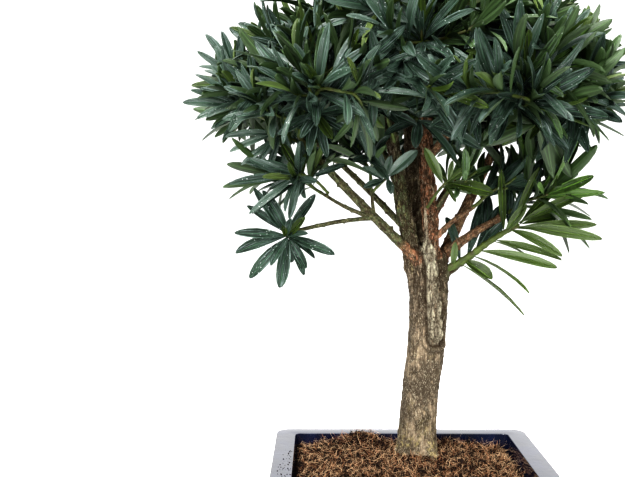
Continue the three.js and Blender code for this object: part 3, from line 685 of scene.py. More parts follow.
def leaves_mesh(name, leaves, materials):
    """One piece of all these leaves. Each is bent back in an arc and twisted along its length."""
    rows, quads, quad_under, triangles, triangle_under = leaf_template()
    get = {key: np.array([leaf[key] for leaf in leaves], float) for key in leaves[0]}
    t, s, u = rows[:, 0], rows[:, 1], rows[:, 2]
    span = get["length"][:, None]
    bend = get["bend"][:, None] + 1e-4
    forward = span * np.sin(bend * t) / bend
    sink = span * (np.cos(bend * t) - 1) / bend
    lean = bend * t
    along, side, up = (get[key][:, None, :] for key in ("along", "side", "up"))
    here_up = up * np.cos(lean)[..., None] + along * np.sin(lean)[..., None]
    twist = (get["twist"][:, None] * t)[..., None]
    across = side * np.cos(twist) + here_up * np.sin(twist)
    proud = here_up * np.cos(twist) - side * np.sin(twist)
    half = get["width"][:, None] / 2
    cup = get["fold"][:, None] * np.abs(s) * half
    waves = 0.09 * np.sin(t * 8 + get["tone"][:, None] * 6) * s * half
    points = get["root"][:, None, :] + along * forward[..., None] + up * sink[..., None]
    points = points + across * (half * s)[..., None]
    points = points + proud * (u + cup + waves)[..., None]
    shift = (np.arange(len(leaves)) * len(rows))[:, None, None]
    all_quads = (quads[None] + shift).reshape(-1, 4)
    all_triangles = (triangles[None] + shift).reshape(-1, 3)
    top = get["kind"].astype(int)[:, None]
    below = UNDERSIDE + (top >= YOUNG)
    which = [np.where(quad_under, below, top), np.where(triangle_under, below, top)]
    along_uv = np.repeat(get["tone"], len(rows)) * 7 + np.tile(t, len(leaves))
    uv = np.stack([np.tile(0.5 + 0.5 * rows[:, 3], len(leaves)), along_uv], -1)
    piece = new_piece(
        name, points.reshape(-1, 3), [all_quads, all_triangles], materials,
        which=np.concatenate([w.ravel() for w in which]), uv=uv,
        values={"tone": np.repeat(get["tone"], len(rows))},
    )
    mark_creases(piece.data, len(rows))
    return piece


def mark_creases(mesh, per_leaf):
    """Keeps the margin of each leaf crisp, and the crease along its rib."""
    line = np.full(per_leaf, -1)
    for i in range(len(LEAF_STATIONS)):
        for k in CREASES:
            line[1 + i * len(LEAF_SECTION) + k] = k
    ends = np.empty(len(mesh.edges) * 2, np.int32)
    mesh.edges.foreach_get("vertices", ends)
    first, second = line[ends % per_leaf].reshape(-1, 2).T
    sharp = mesh.attributes.new("sharp_edge", "BOOLEAN", "EDGE")
    sharp.data.foreach_set("value", (first == second) & (first >= 0))


def turned_frame(along, face):
    """The ways across and up of a leaf that points along and shows its upper side to face."""
    side = face.cross(along)
    if side.length < 1e-6:
        side = Vector((1, 0, 0)).cross(along)
    side.normalize()
    return side, along.cross(side)


def make_leaf(root, along, face, span, width, kind, roll):
    along = along.normalized()
    side, up = turned_frame(along, face)
    bend = 0.1 + 0.6 * roll() ** 1.5
    start = (along + up * math.tan(bend / 2)).normalized()
    side, up = turned_frame(start, up)
    return {
        "root": root, "along": start, "side": side, "up": up, "length": span, "width": width, "kind": kind,
        "bend": bend, "twist": (roll() - 0.5) * 0.8, "fold": 0.22 + 0.5 * roll(), "tone": roll(),
    }


LIMB_ENDS = [
    (np.array(path[i]), np.array(path[i + 1]), LIMB_RADII[name][0] * 0.5 + LIMB_RADII[name][1] * 0.5)
    for name, path in LIMB_PATHS.items()
    for i in range(len(path) - 1)
]
SEGMENT_A = np.array([a for a, _, _ in LIMB_ENDS])
SEGMENT_AB = np.array([b - a for a, b, _ in LIMB_ENDS])
SEGMENT_R = np.array([r for _, _, r in LIMB_ENDS])


def clear_of_limbs(points):
    gap = points[:, None] - SEGMENT_A[None]
    share = np.clip((gap * SEGMENT_AB).sum(-1) / (SEGMENT_AB ** 2).sum(-1), 0, 1)
    away = np.linalg.norm(gap - share[..., None] * SEGMENT_AB[None], axis=-1)
    return bool((away > SEGMENT_R + 0.5).all())


def inside(p, box):
    return all(low < c < high for low, c, high in zip(box[0], p, box[1]))


def in_opening(p):
    """Whether a point lies in one of the spaces that stay open."""
    for low, high, back, *sides in OPENINGS:
        ahead = back - p[1]
        left, right = (x - slope * ahead for x, slope in sides)
        if ahead > 0 and left < p[0] < right and low < p[2] < high:
            return True
    return False


def fits(leaf, mass):
    """Whether a leaf keeps to the space of the foliage and clear of the limbs."""
    tips = [leaf["root"] + leaf["along"] * (leaf["length"] * t) for t in FREE_LEAF_POINTS]
    if owner_of(tips[0]) is None or any(in_opening(p) for p in tips):
        return False
    if dome_outness(tips[-1]) > 1 and min(own_outness(tips[-1], m) for m in OWN_MASSES) > 1:
        return False
    return clear_of_limbs(np.array(tips))


def kind_of_shoot(mass, tip, roll):
    """Which green a shoot has. Those to the right and at the top are greener."""
    if mass["young"]:
        return YOUNG if mass["name"] == "green_shoot_foliage" else MIDDLE
    green = 0.12 + 0.44 * min(1, max(0, (tip.x + 40) / 240)) + 0.08 * max(0, (tip.z - 520) / 140)
    pick = roll()
    if pick > green:
        return DARK
    return MIDDLE if pick > green * 0.34 else OLIVE


def vigour(tip):
    """How much longer the leaves are than the shortest: more so to the right and at the top."""
    right = min(1, max(0, (tip.x - 20) / 150))
    high = min(1, max(0, (tip.z - 520) / 120))
    return 1 + 0.34 * right + 0.14 * high


def shoot_leaves(mass, twig, sizes, roll):
    """A shoot's leaves: in a spiral up its end, spread wide at first and narrow round the bud."""
    count = round(sizes.per_shoot * twig["share"] * (0.8 + 0.4 * roll()))
    path = twig["path"]
    tip = path[-1]
    outward = (tip - Vector(DOME["centre"]) + UP * 60).normalized()
    kind = kind_of_shoot(mass, tip, roll)
    leafy = 22 + 20 * roll()
    phase = 360 * roll()
    full = vigour(tip) * sizes.longest / MM
    # Painted shade: leaves deep in the dome get a darker tone, and with it less gloss.
    shaded = 0 if mass["reach"] else 0.85 * smoothstep(0.92, 0.66, dome_outness(tip))
    # Painted light: the lowest tone is raised, a little everywhere in the dome and more on the left and at
    # the top.
    painted_light = 0.15 + 0.35 * smoothstep(-60, -190, tip.x) + 0.2 * smoothstep(500, 600, tip.z)
    painted_light = 0 if mass["reach"] else painted_light
    leaves = []
    for i in range(count):
        t = i / max(1, count - 1)
        root, way = back_from(path, leafy * (1 - t) ** 0.8)
        across = UP.cross(way).normalized()
        beside = way.cross(across)
        spread = 66 - 46 * t ** 1.1 + 26 * (roll() - 0.5)
        turn = phase + GOLDEN_ANGLE * i
        span = full * (0.66 + 0.5 * roll()) * (1 - 0.45 * max(0, t - 0.6) / 0.4)
        width = (0.55 * full + 0.45 * span) / sizes.slimness * (0.84 + 0.28 * roll())
        leaf_kind = kind
        if t > 0.7 and roll() < 0.28:
            leaf_kind = FRESH if roll() < 0.3 else YOUNG
        for shrink, more_turn, more_spread in ((1, 0, 0), (0.9, 24, -8), (0.85, -24, 10), (0.66, 0, -14)):
            a, b = math.radians(turn + more_turn), math.radians(spread + more_spread)
            out = across * math.cos(a) + beside * math.sin(a)
            along = way * math.cos(b) + out * math.sin(b)
            face = way * math.sin(b) - out * math.cos(b) + outward * 0.75 + UP * 0.4
            leaf = make_leaf(root, along, face, span * shrink, width * shrink, leaf_kind, roll)
            leaf["tone"] = (painted_light + (1 - painted_light) * leaf["tone"]) * (1 - shaded)
            if fits(leaf, mass):
                leaves.append(leaf)
                break
    return leaves


# How far the root of a listed leaf may lie from the axis of its twig, to both sides together.
ROOT_SHIFT = 3.5


def set_leaves(rows, path, kind, roll):
    """Leaves that are placed one by one from a table, each with its root at a share of the way up a twig."""
    line = resample([tuple(p) for p in path], 1)
    leaves = []
    for share, angle, span, lean, width, *turned in rows:
        shift = Vector((roll() - 0.5, 0, roll() - 0.5)) * ROOT_SHIFT
        root = Vector(line[round(share * (len(line) - 1))]) + shift
        a = math.radians(angle)
        along = Vector((math.cos(a), -lean, math.sin(a))).normalized()
        face = Vector((0.06, -0.9, 0.35 + 0.3 * roll()))
        if turned:
            face.rotate(Quaternion(along, math.radians(turned[0])))
        leaves.append(make_leaf(root, along, face, span, width, kind, roll))
    return leaves


# ------------------------------------------------------------------ node helpers

def feed(tree, node, inputs):
    """Joins each of these inputs of a node to a socket, or sets it to a value."""
    for key, value in inputs.items():
        if isinstance(value, bpy.types.NodeSocket):
            tree.links.new(value, node.inputs[key])
        else:
            node.inputs[key].default_value = value


def add_node(tree, kind, inputs=None, **settings):
    made = tree.nodes.new(kind)
    for key, value in settings.items():
        setattr(made, key, value)
    feed(tree, made, inputs or {})
    return made


def group_tree(name, kind, inputs, outputs):
    """A node group with named sockets, the sockets of its inputs, and its output node."""
    tree = bpy.data.node_groups.new(name, kind)
    for label, socket, value in inputs:
        made = tree.interface.new_socket(label, in_out="INPUT", socket_type=socket)
        if value is not None:
            made.default_value = value
    for label, socket in outputs:
        tree.interface.new_socket(label, in_out="OUTPUT", socket_type=socket)
    return tree, tree.nodes.new("NodeGroupInput").outputs, tree.nodes.new("NodeGroupOutput")


def use_group(tree, name, build, inputs=None):
    """The outputs of a group's node. build makes the group where it isn't there yet."""
    group = bpy.data.node_groups.get(name) or build(name)
    return add_node(tree, "ShaderNodeGroup", inputs, node_tree=group).outputs


def calc(tree, operation, *values):
    return add_node(tree, "ShaderNodeMath", dict(enumerate(values)), operation=operation).outputs[0]


def vector_calc(tree, operation, a, b):
    return add_node(tree, "ShaderNodeVectorMath", {0: a, 1: b}, operation=operation).outputs[0]


def times(tree, a, b):
    return calc(tree, "MULTIPLY", a, b)


def plus(tree, a, b):
    return calc(tree, "ADD", a, b)


def ranged(tree, value, low, high, start=0.0, end=1.0):
    """Goes from start to end as the value goes from low to high."""
    sizes = {"Value": value, "From Min": low, "From Max": high, "To Min": start, "To Max": end}
    return add_node(tree, "ShaderNodeMapRange", sizes).outputs[0]


def between(tree, value, low, high):
    """Goes from low to high as the value goes from 0 to 1."""
    return ranged(tree, value, 0.0, 1.0, low, high)


def object_place(tree):
    return add_node(tree, "ShaderNodeTexCoord").outputs["Object"]


def value_of(tree, name):
    return add_node(tree, "ShaderNodeAttribute", attribute_name=name).outputs["Fac"]


def mottle_group(name):
    """Stretched noise on object coordinates, as a mask with a soft edge."""
    inputs = [
        ("Scale", "NodeSocketFloat", 100.0), ("Stretch", "NodeSocketVector", (1, 1, 1)),
        ("From", "NodeSocketFloat", 0.35), ("To", "NodeSocketFloat", 0.65),
    ]
    tree, get, sink = group_tree(name, "ShaderNodeTree", inputs, [("Mask", "NodeSocketFloat")])
    place = vector_calc(tree, "MULTIPLY", object_place(tree), get["Stretch"])
    cloud = add_node(
        tree, "ShaderNodeTexNoise", {"Vector": place, "Scale": get["Scale"], "Detail": 4.0, "Roughness": 0.6}
    )
    mask = add_node(
        tree, "ShaderNodeMapRange",
        {"Value": cloud.outputs["Fac"], "From Min": get["From"], "From Max": get["To"]},
        interpolation_type="SMOOTHSTEP",
    )
    feed(tree, sink, {"Mask": mask.outputs[0]})
    return tree


def mottle(tree, scale, stretch=(1, 1, 1), low=0.35, high=0.65):
    inputs = {"Scale": scale, "Stretch": stretch, "From": low, "To": high}
    return use_group(tree, "mottle", mottle_group, inputs)["Mask"]


def specks_group(name):
    """Small round specks on object coordinates, in the share of the cells that Amount gives."""
    sizes = (("Scale", 600.0), ("Size", 0.2), ("Amount", 0.5))
    inputs = [(label, "NodeSocketFloat", value) for label, value in sizes]
    tree, get, sink = group_tree(name, "ShaderNodeTree", inputs, [("Mask", "NodeSocketFloat")])
    place = {"Vector": object_place(tree), "Scale": get["Scale"]}
    cells = add_node(tree, "ShaderNodeTexVoronoi", place).outputs
    dot = calc(tree, "LESS_THAN", cells["Distance"], get["Size"])
    shade = add_node(tree, "ShaderNodeSeparateColor", {0: cells["Color"]}).outputs[0]
    feed(tree, sink, {"Mask": times(tree, dot, calc(tree, "LESS_THAN", shade, get["Amount"]))})
    return tree


def specks(tree, scale, size, amount):
    return use_group(tree, "specks", specks_group, {"Scale": scale, "Size": size, "Amount": amount})["Mask"]


def leaf_lines_group(name):
    """The rib, the margin and the fine lines of a leaf, as masks on its own UV map."""
    outputs = [(label, "NodeSocketFloat") for label in ("Rib", "Margin", "Lines")]
    tree, get, sink = group_tree(name, "ShaderNodeTree", [("Fineness", "NodeSocketFloat", 9.0)], outputs)
    uv = add_node(tree, "ShaderNodeUVMap", uv_map="along").outputs[0]
    across = add_node(tree, "ShaderNodeSeparateXYZ", {0: uv}).outputs["X"]
    off_rib = calc(tree, "ABSOLUTE", calc(tree, "SUBTRACT", across, 0.5))
    stretch = add_node(tree, "ShaderNodeCombineXYZ", {"X": get["Fineness"], "Y": 1.2, "Z": 1.0}).outputs[0]
    place = {"Vector": vector_calc(tree, "MULTIPLY", uv, stretch), "Scale": 1.0, "Detail": 3.0}
    cloud = add_node(tree, "ShaderNodeTexNoise", place).outputs["Fac"]
    feed(tree, sink, {
        "Rib": ranged(tree, off_rib, 0.02, 0.075, 1.0, 0.0),
        "Margin": ranged(tree, off_rib, 0.43, 0.49),
        "Lines": ranged(tree, cloud, 0.48, 0.63),
    })
    return tree


def leaf_lines(tree):
    return use_group(tree, "leaf_lines", leaf_lines_group)


def cracks(tree, scale, stretch):
    """Fine dark cracks round small scales of bark, broken off here and there."""
    place = object_place(tree)
    bent = add_node(tree, "ShaderNodeTexNoise", {"Vector": place, "Scale": scale * 0.8}).outputs["Color"]
    shift = add_node(tree, "ShaderNodeVectorMath", {0: bent, "Scale": 0.7 / scale}, operation="SCALE")
    place = vector_calc(tree, "ADD", place, shift.outputs[0])
    place = vector_calc(tree, "MULTIPLY", place, (1.0, 1.0, stretch))
    cells = add_node(
        tree, "ShaderNodeTexVoronoi", {"Vector": place, "Scale": float(scale)}, feature="DISTANCE_TO_EDGE"
    )
    line = ranged(tree, cells.outputs["Distance"], 0.02, 0.14, 1.0, 0.0)
    return times(tree, line, mottle(tree, scale * 0.4, low=0.38, high=0.56))


def scaled(shade, factor):
    return tuple(min(1.0, c * factor) for c in shade)


def mix(tree, mask, a, b):
    """Colour a where the mask is 0 and colour b where it is 1."""
    shades = {key: (*value, 1) if isinstance(value, tuple) else value for key, value in ((6, a), (7, b))}
    return add_node(tree, "ShaderNodeMix", {0: mask, **shades}, data_type="RGBA").outputs[2]


def toned(tree, value, shade, low, high):
    """A shade times low where the value is 0, and times high where it is 1."""
    return mix(tree, value, scaled(shade, low), scaled(shade, high))


def bump(tree, height, strength, distance):
    inputs = {"Height": height, "Strength": strength, "Distance": distance}
    return add_node(tree, "ShaderNodeBump", inputs).outputs[0]


def new_material(name):
    material = bpy.data.materials.new(name)
    material.use_nodes = True
    return material, material.node_tree, material.node_tree.nodes["Principled BSDF"]


# ------------------------------------------------------------------ materials

# Shades that lie over others: the tint of the painted sheen streaks and the dust on a leaf, and the brown
# patches of a twig.
SHEEN_TINT = (0.13, 0.152, 0.158)
DUST = (0.8, 0.83, 0.82)
TWIG_BROWN = (0.06, 0.042, 0.022)


def glaze_material(pot):
    """Deep blue glaze, nearly black where thick, with faint streaks and pinholes."""
    material, tree, shader = new_material("navy_glaze")
    base = toned(tree, mottle(tree, 34, (1, 1, 0.5), 0.4, 0.72), pot.glaze, 1, 2.1)
    streak = times(tree, mottle(tree, 190, (1, 1, 0.12), 0.6, 0.86), 0.3)
    wave = plus(tree, mottle(tree, 26), times(tree, specks(tree, 420, 0.16, 0.06), -1.5))
    feed(tree, shader, {
        "Base Color": mix(tree, streak, base, tuple(pot.thin_glaze)),
        "Roughness": between(tree, mottle(tree, 60), 0.06, 0.16),
        "Normal": bump(tree, wave, 0.3, 0.0005),
        "IOR": 1.75, "Coat Weight": 0.9, "Coat Roughness": 0.05,
    })
    return material


def earth_material(name, shade, darker, scale, roughness=0.95):
    """Anything of the soil, or loose bark: shades of one brown with patches of painted shade, and a dry rough
    surface.
    """
    material, tree, shader = new_material(name)
    base = toned(tree, mottle(tree, scale), shade, darker, 1)
    flecks = times(tree, mottle(tree, scale * 3.3, low=0.55, high=0.8), 0.6)
    # Painted shade: darker patches some millimetres wide, standing in for the shade in the gaps between
    # clumps.
    shade_patches = times(tree, mottle(tree, 150, low=0.5, high=0.6), 0.75)
    for mask, factor in ((flecks, 1.7), (shade_patches, 0.15)):
        base = mix(tree, mask, base, scaled(shade, factor))
    feed(tree, shader, {
        "Base Color": base, "Normal": bump(tree, mottle(tree, scale * 5), 0.5, 0.0004),
        "Roughness": roughness, "Specular IOR Level": 0.25,
    })
    return material


def bark_material(bark):
    """Fibrous bark. Where it is furrowed or has painted shade or light, red, bare, green or has lichen comes
    with the mesh.
    """
    material, tree, shader = new_material("podocarpus_bark")
    relief, tone, flaky = (value_of(tree, name) for name in ("relief", "tone", "flaky"))
    furrow_and_shade = tuple(bark.furrow_and_shade)
    strands = mottle(tree, 520, (1, 1, 0.13), 0.35, 0.68)
    patches = times(tree, mottle(tree, 90, (1, 1, 0.4), 0.35, 0.7), 0.3)
    # tone holds the bark's own shades, with a painted light on the stems above the fork.
    base = mix(tree, patches, toned(tree, tone, bark.old, 0.26, 1.5), scaled(bark.old, 0.6))
    zones = (("green", bark.green, 0.55, 2.1), ("red", bark.red, 0.4, 1.35), ("pale", bark.pale, 0.5, 1.25))
    for name, shade, low, high in zones:
        base = mix(tree, value_of(tree, name), base, toned(tree, tone, shade, low, high))
    spots = times(tree, value_of(tree, "moss"), mottle(tree, 240, low=0.45, high=0.62))
    base = mix(tree, spots, base, tuple(bark.moss))
    base = mix(tree, times(tree, strands, 0.4), base, furrow_and_shade)
    fewer_on_green = between(tree, value_of(tree, "green"), 0.5, 0.2)
    light = times(tree, mottle(tree, 980, (1, 1, 0.35), 0.54, 0.64), fewer_on_green)
    base = mix(tree, light, base, scaled(bark.pale, 0.9))
    for scale, stretch, reach in ((230, 0.45, 0.85), (520, 0.6, 0.5)):
        line = times(tree, times(tree, cracks(tree, scale, stretch), reach), flaky)
        base = mix(tree, line, base, furrow_and_shade)
    # relief darkens to the furrows' colour: the real cracks and grooves, and painted shade in the wounds, on
    # the middle stem and on the right side.
    base = mix(tree, relief, base, furrow_and_shade)
    dust = times(tree, specks(tree, 800, 0.26, 0.12), 0.4)
    grain = plus(tree, times(tree, strands, -0.7), mottle(tree, 1300, (1, 1, 0.3)))
    feed(tree, shader, {
        "Base Color": mix(tree, dust, base, tuple(bark.pale)), "Normal": bump(tree, grain, 0.9, 0.0008),
        "Roughness": between(tree, relief, 0.8, 0.96), "Specular IOR Level": 0.3,
    })
    return material


def twig_material(leaf):
    """Green skin of the leafy twigs, browner in patches."""
    material, tree, shader = new_material("leafy_twig")
    base = toned(tree, mottle(tree, 140, low=0.4, high=0.7), leaf.twig, 0.55, 1)
    brown = times(tree, mottle(tree, 60, low=0.5, high=0.6), 0.5)
    feed(tree, shader, {
        "Base Color": mix(tree, brown, base, TWIG_BROWN),
        "Normal": bump(tree, mottle(tree, 700, (1, 1, 0.4)), 0.5, 0.0003), "Roughness": 0.6,
    })
    return material


def leaf_material(name, shade, gloss, dust, sheen):
    """The upper side of a leaf: waxy, a little uneven, with a fine rib, whitish specks, a painted highlight
    along the margin and streaks of painted sheen.
    """
    material, tree, shader = new_material(name)
    # A leaf's tone is partly its own at random and partly painted shade and light from where it grows in the
    # crown.
    lines, tone = leaf_lines(tree), value_of(tree, "tone")
    base = toned(tree, tone, shade, 0.22, 1.6)
    base = mix(tree, times(tree, mottle(tree, 60), 0.4), base, scaled(shade, 1.6))
    # Painted sheen: pale bluish-grey streaks along the fine lines, standing in for the gloss of the leaf.
    sheen_streaks = times(tree, lines["Lines"], mottle(tree, 55, low=0.3, high=0.6))
    sheen_shade = tuple(0.9 * c + b for c, b in zip(shade, SHEEN_TINT))
    rib_green_and_edge_highlight = scaled(shade, 3)
    dusty = times(tree, mottle(tree, 26, low=0.42, high=0.6), dust)
    # The rib gets its own paler green. The margin is lightened with the same green as a painted highlight
    # along the edge.
    layers = (
        (sheen_streaks, sheen, sheen_shade), (lines["Rib"], 0.75, rib_green_and_edge_highlight), (lines["Margin"], 0.5, rib_green_and_edge_highlight),
        (specks(tree, 430, 0.22, 0.2), dusty, DUST),
    )
    for mask, strength, over in layers:
        base = mix(tree, times(tree, mask, strength), base, over)
    height = plus(tree, lines["Lines"], times(tree, lines["Rib"], -1.2))
    feed(tree, shader, {
        "Base Color": base, "Normal": bump(tree, height, 0.9, 0.0006),
        "Roughness": between(tree, lines["Lines"], gloss + 0.16, gloss),
        "Specular IOR Level": between(tree, tone, 0.1, 1.0),
        "Coat Weight": between(tree, tone, 0.0, 0.4), "Coat Roughness": 0.3,
    })
    return material


def under_material(name, shade):
    """The paler, matt underside of a leaf, with its rib."""
    material, tree, shader = new_material(name)
    lines = leaf_lines(tree)
    base = toned(tree, value_of(tree, "tone"), shade, 0.5, 1.2)
    for label, strength, factor in (("Lines", 0.45, 2), ("Rib", 0.5, 2.4)):
        base = mix(tree, times(tree, lines[label], strength), base, scaled(shade, factor))
    grain = bump(tree, lines["Lines"], 0.4, 0.0004)
    feed(tree, shader, {"Base Color": base, "Normal": grain, "Roughness": 0.5})
    return material


def foliage_materials(leaf):
    """Five greens for the upper sides, and a pale and a young one for the undersides."""
    # Name, green, gloss, dust, and the strength of the painted sheen streaks.
    tops = (
        ("dark", leaf.dark, 0.24, 0.7, 0.9), ("middle", leaf.middle, 0.25, 0.65, 0.6),
        ("olive", leaf.olive, 0.32, 0.5, 0.35), ("young", leaf.young, 0.34, 0.3, 0.15),
        ("fresh", leaf.fresh, 0.36, 0.2, 0.1),
    )
    made = [leaf_material(f"{name}_leaf", *values) for name, *values in tops]
    made.append(under_material("leaf_underside", leaf.under))
    made.append(under_material("young_underside", scaled(leaf.young, 1.25)))
    return made


# ------------------------------------------------------------------ pot

def rounded_loop(half_x, half_y, corner, steps=10):
    """Points of a rounded rectangle, anticlockwise seen from above."""
    points = []
    for k, (sx, sy) in enumerate(((1, 1), (-1, 1), (-1, -1), (1, -1))):
        for i in range(steps + 1):
            angle = math.pi / 2 * (k + i / steps)
            x = sx * (half_x - corner) + corner * math.cos(angle)
            y = sy * (half_y - corner) + corner * math.sin(angle)
            points.append((x, y))
    return points


def loft(stations):
    """A closed surface through loops of points, from the first one's cap to the last one's."""
    work = bmesh.new()
    loops = []
    for half_x, half_y, corner, z in stations:
        loop = rounded_loop(half_x, half_y, corner)
        loops.append([work.verts.new((x * MM, y * MM, z * MM)) for x, y in loop])
    for low, high in zip(loops, loops[1:]):
        for i in range(len(low)):
            j = (i + 1) % len(low)
            work.faces.new((low[i], low[j], high[j], high[i]))
    work.faces.new(loops[0][::-1])
    work.faces.new(loops[-1])
    return mesh_from(work, "loft")


def arc_profile(half_x, half_y, corner, z, radius, start, steps=5):
    """Stations round an edge of that radius, from an angle in quarter turns, about its middle."""
    rows = []
    for i in range(steps + 1):
        angle = math.pi / 2 * (start + i / steps)
        out, rise = radius * math.cos(angle), radius * math.sin(angle)
        rows.append((half_x + out, half_y + out, corner + out, z + rise))
    return rows


# Height of the pot's floor inside, which sets how far in the soil begins, too.
POT_FLOOR = 16
# The loops of a foot, each with its half sizes, corner and height, and how far in a foot's middle lies.
FOOT_LOOPS = ((28, 21, 7.5, 0), (29, 22, 8.5, 1))
FOOT_INSET = (33, 26)


class BONSAI_OT_pot(Operator):
    """Makes the glazed pot with its band, its feet and its rounded edges"""

    bl_idname = "bonsai.pot"
    bl_label = "Pot"

    def execute(self, context):
        pot = context.scene.bonsai_pot
        half_x, half_y, height = (POT_HIGH.x / MM, POT_HIGH.y / MM, POT_HIGH.z / MM)
        lip = (pot.rim_width - pot.wall) / MM
        taper, corner, foot = pot.taper / MM, pot.corner / MM, pot.foot_height / MM
        under_rim = height - pot.rim_height / MM
        edge, inner_edge, low_edge = 2.2, 0.9, 3
        low_x, low_y = half_x - lip - taper, half_y - lip - taper
        plinth, low_corner, wall_corner = 27, 11, 14
        stations = [(low_x - plinth, low_y - plinth, corner, z) for z in (0, foot)]
        stations += arc_profile(low_x - low_edge, low_y - low_edge, low_corner, foot + low_edge, low_edge, -1)
        for step, drop in ((0.6, 3), (0, 0)):
            stations.append((half_x - lip - step, half_y - lip - step, wall_corner, under_rim - drop))
        stations += arc_profile(half_x - edge, half_y - edge, corner - edge, under_rim + edge, edge, -1)
        stations += arc_profile(half_x - edge, half_y - edge, corner - edge, height - edge, edge, 0)
        wall_x, wall_y = half_x - pot.rim_width / MM, half_y - pot.rim_width / MM
        inner_corner = corner - pot.wall / MM
        for i in range(6):
            angle = math.pi / 2 * (1 - i / 5)
            out = inner_edge * (1 - math.cos(angle))
            rise = inner_edge * (math.sin(angle) - 1)
            stations.append((wall_x + out, wall_y + out, inner_corner + out, height + rise))
        stations.append((wall_x - taper, wall_y - taper, inner_corner, POT_FLOOR))
        piece = add_object("glazed_pot", loft(stations))
        for sx in (-1, 1):
            for sy in (-1, 1):
                mesh = loft([*FOOT_LOOPS, (*FOOT_LOOPS[-1][:3], foot + 1.5)])
                for vertex in mesh.vertices:
                    vertex.co.x += sx * (low_x - FOOT_INSET[0]) * MM
                    vertex.co.y += sy * (low_y - FOOT_INSET[1]) * MM
                union(piece, mesh)
        dress(piece, glaze_material(pot))
        piece.data.set_sharp_from_angle(angle=math.radians(40))
        finish_piece(piece, "glaze", "pot")
        return {"FINISHED"}


def union(piece, mesh):
    """Joins a closed mesh to a piece."""
    tool = add_object("tool", mesh)
    cut = piece.modifiers.new("union", "BOOLEAN")
    cut.operation = "UNION"
    cut.solver = "EXACT"
    cut.object = tool
    settle(piece)
    bpy.data.objects.remove(tool)


# ------------------------------------------------------------------ soil

# The level along the wall and at the trunk, how far round the trunk it is flat, and the slope from there on.
# Each heap has its middle, its height and its radius. The mound is where the soil may stand over the rim.
SOIL = {
    "edge": 76, "tilt": 0.02, "crest": 80, "flat_radius": 40, "slope": 40, "skirt": 14, "below_rim": 3,
    "heap": (-52, 64, 18, 20), "mound": (-52, 62, 12, 22),
}


def heap_of(name, x, y):
    middle_x, middle_y, rise, radius = SOIL[name]
    return rise * np.exp(-((x - middle_x) / radius) ** 2 - ((y - middle_y) / radius) ** 2)


def soil_level(x, y):
    foot_x, foot_y, _ = TRUNK["line"][0]
    away = np.maximum(0, np.hypot(x - foot_x, y - foot_y) - SOIL["flat_radius"]) / SOIL["slope"]
    base = SOIL["edge"] - SOIL["tilt"] * x
    level = base + (SOIL["crest"] - base) * np.exp(-away * away)
    return level + heap_of("heap", x, y) * np.minimum(1, away * 2)


def soil_grid(half_x, half_y, corner, cell):
    """Grid points of a rounded rectangle. Those past a corner's arc are pulled in to it."""
    count_x, count_y = round(2 * half_x / cell), round(2 * half_y / cell)
    x, y = np.meshgrid(np.linspace(-half_x, half_x, count_x + 1), np.linspace(-half_y, half_y, count_y + 1))
    past_x = np.maximum(0, np.abs(x) - (half_x - corner))
    past_y = np.maximum(0, np.abs(y) - (half_y - corner))
    past = np.hypot(past_x, past_y)
    pull = np.where(past > corner, corner / np.maximum(past, 1e-6), 1)
    x = np.sign(x) * (np.abs(x) - past_x * (1 - pull))
    y = np.sign(y) * (np.abs(y) - past_y * (1 - pull))
    return x, y


def scatter_tree(name):
    """Scatters copies of the things of a collection over a surface, turned at random, as real geometry."""
    inputs = [
        ("Geometry", "NodeSocketGeometry", None), ("Things", "NodeSocketCollection", None),
        ("Density", "NodeSocketFloat", 1000.0), ("Seed", "NodeSocketInt", 1),
        ("Tilt", "NodeSocketFloat", 0.3), ("Smallest", "NodeSocketFloat", 0.6),
        ("Largest", "NodeSocketFloat", 1.3), ("Turn", "NodeSocketFloat", 6.283),
        ("Finish", "NodeSocketMaterial", None),
    ]
    tree, get, sink = group_tree(name, "GeometryNodeTree", inputs, [("Geometry", "NodeSocketGeometry")])
    seed, tilt = {"Seed": get["Seed"]}, get["Tilt"]
    points = add_node(
        tree, "GeometryNodeDistributePointsOnFaces",
        {"Mesh": get["Geometry"], "Density": get["Density"], **seed},
    ).outputs
    things = add_node(
        tree, "GeometryNodeCollectionInfo",
        {"Collection": get["Things"], "Separate Children": True, "Reset Children": True},
    ).outputs[0]
    less = times(tree, tilt, -1.0)
    low = add_node(tree, "ShaderNodeCombineXYZ", {"X": less, "Y": less}).outputs[0]
    high = add_node(tree, "ShaderNodeCombineXYZ", {"X": tilt, "Y": tilt, "Z": get["Turn"]}).outputs[0]
    turn = add_node(tree, "FunctionNodeRandomValue", {0: low, 1: high, **seed}, data_type="FLOAT_VECTOR")
    turns = {0: points["Rotation"], 1: turn.outputs[0]}
    turned = add_node(tree, "FunctionNodeRotateRotation", turns, rotation_space="LOCAL")
    sizes = {2: get["Smallest"], 3: get["Largest"], **seed}
    size = add_node(tree, "FunctionNodeRandomValue", sizes, data_type="FLOAT")
    spread = add_node(tree, "GeometryNodeInstanceOnPoints", {
        "Points": points["Points"], "Instance": things, "Pick Instance": True,
        "Rotation": turned.outputs[0], "Scale": size.outputs[1],
    })
    real = add_node(tree, "GeometryNodeRealizeInstances", {"Geometry": spread.outputs[0]}).outputs[0]
    painted = add_node(tree, "GeometryNodeSetMaterial", {"Geometry": real, "Material": get["Finish"]})
    feed(tree, sink, {"Geometry": painted.outputs[0]})
    return tree


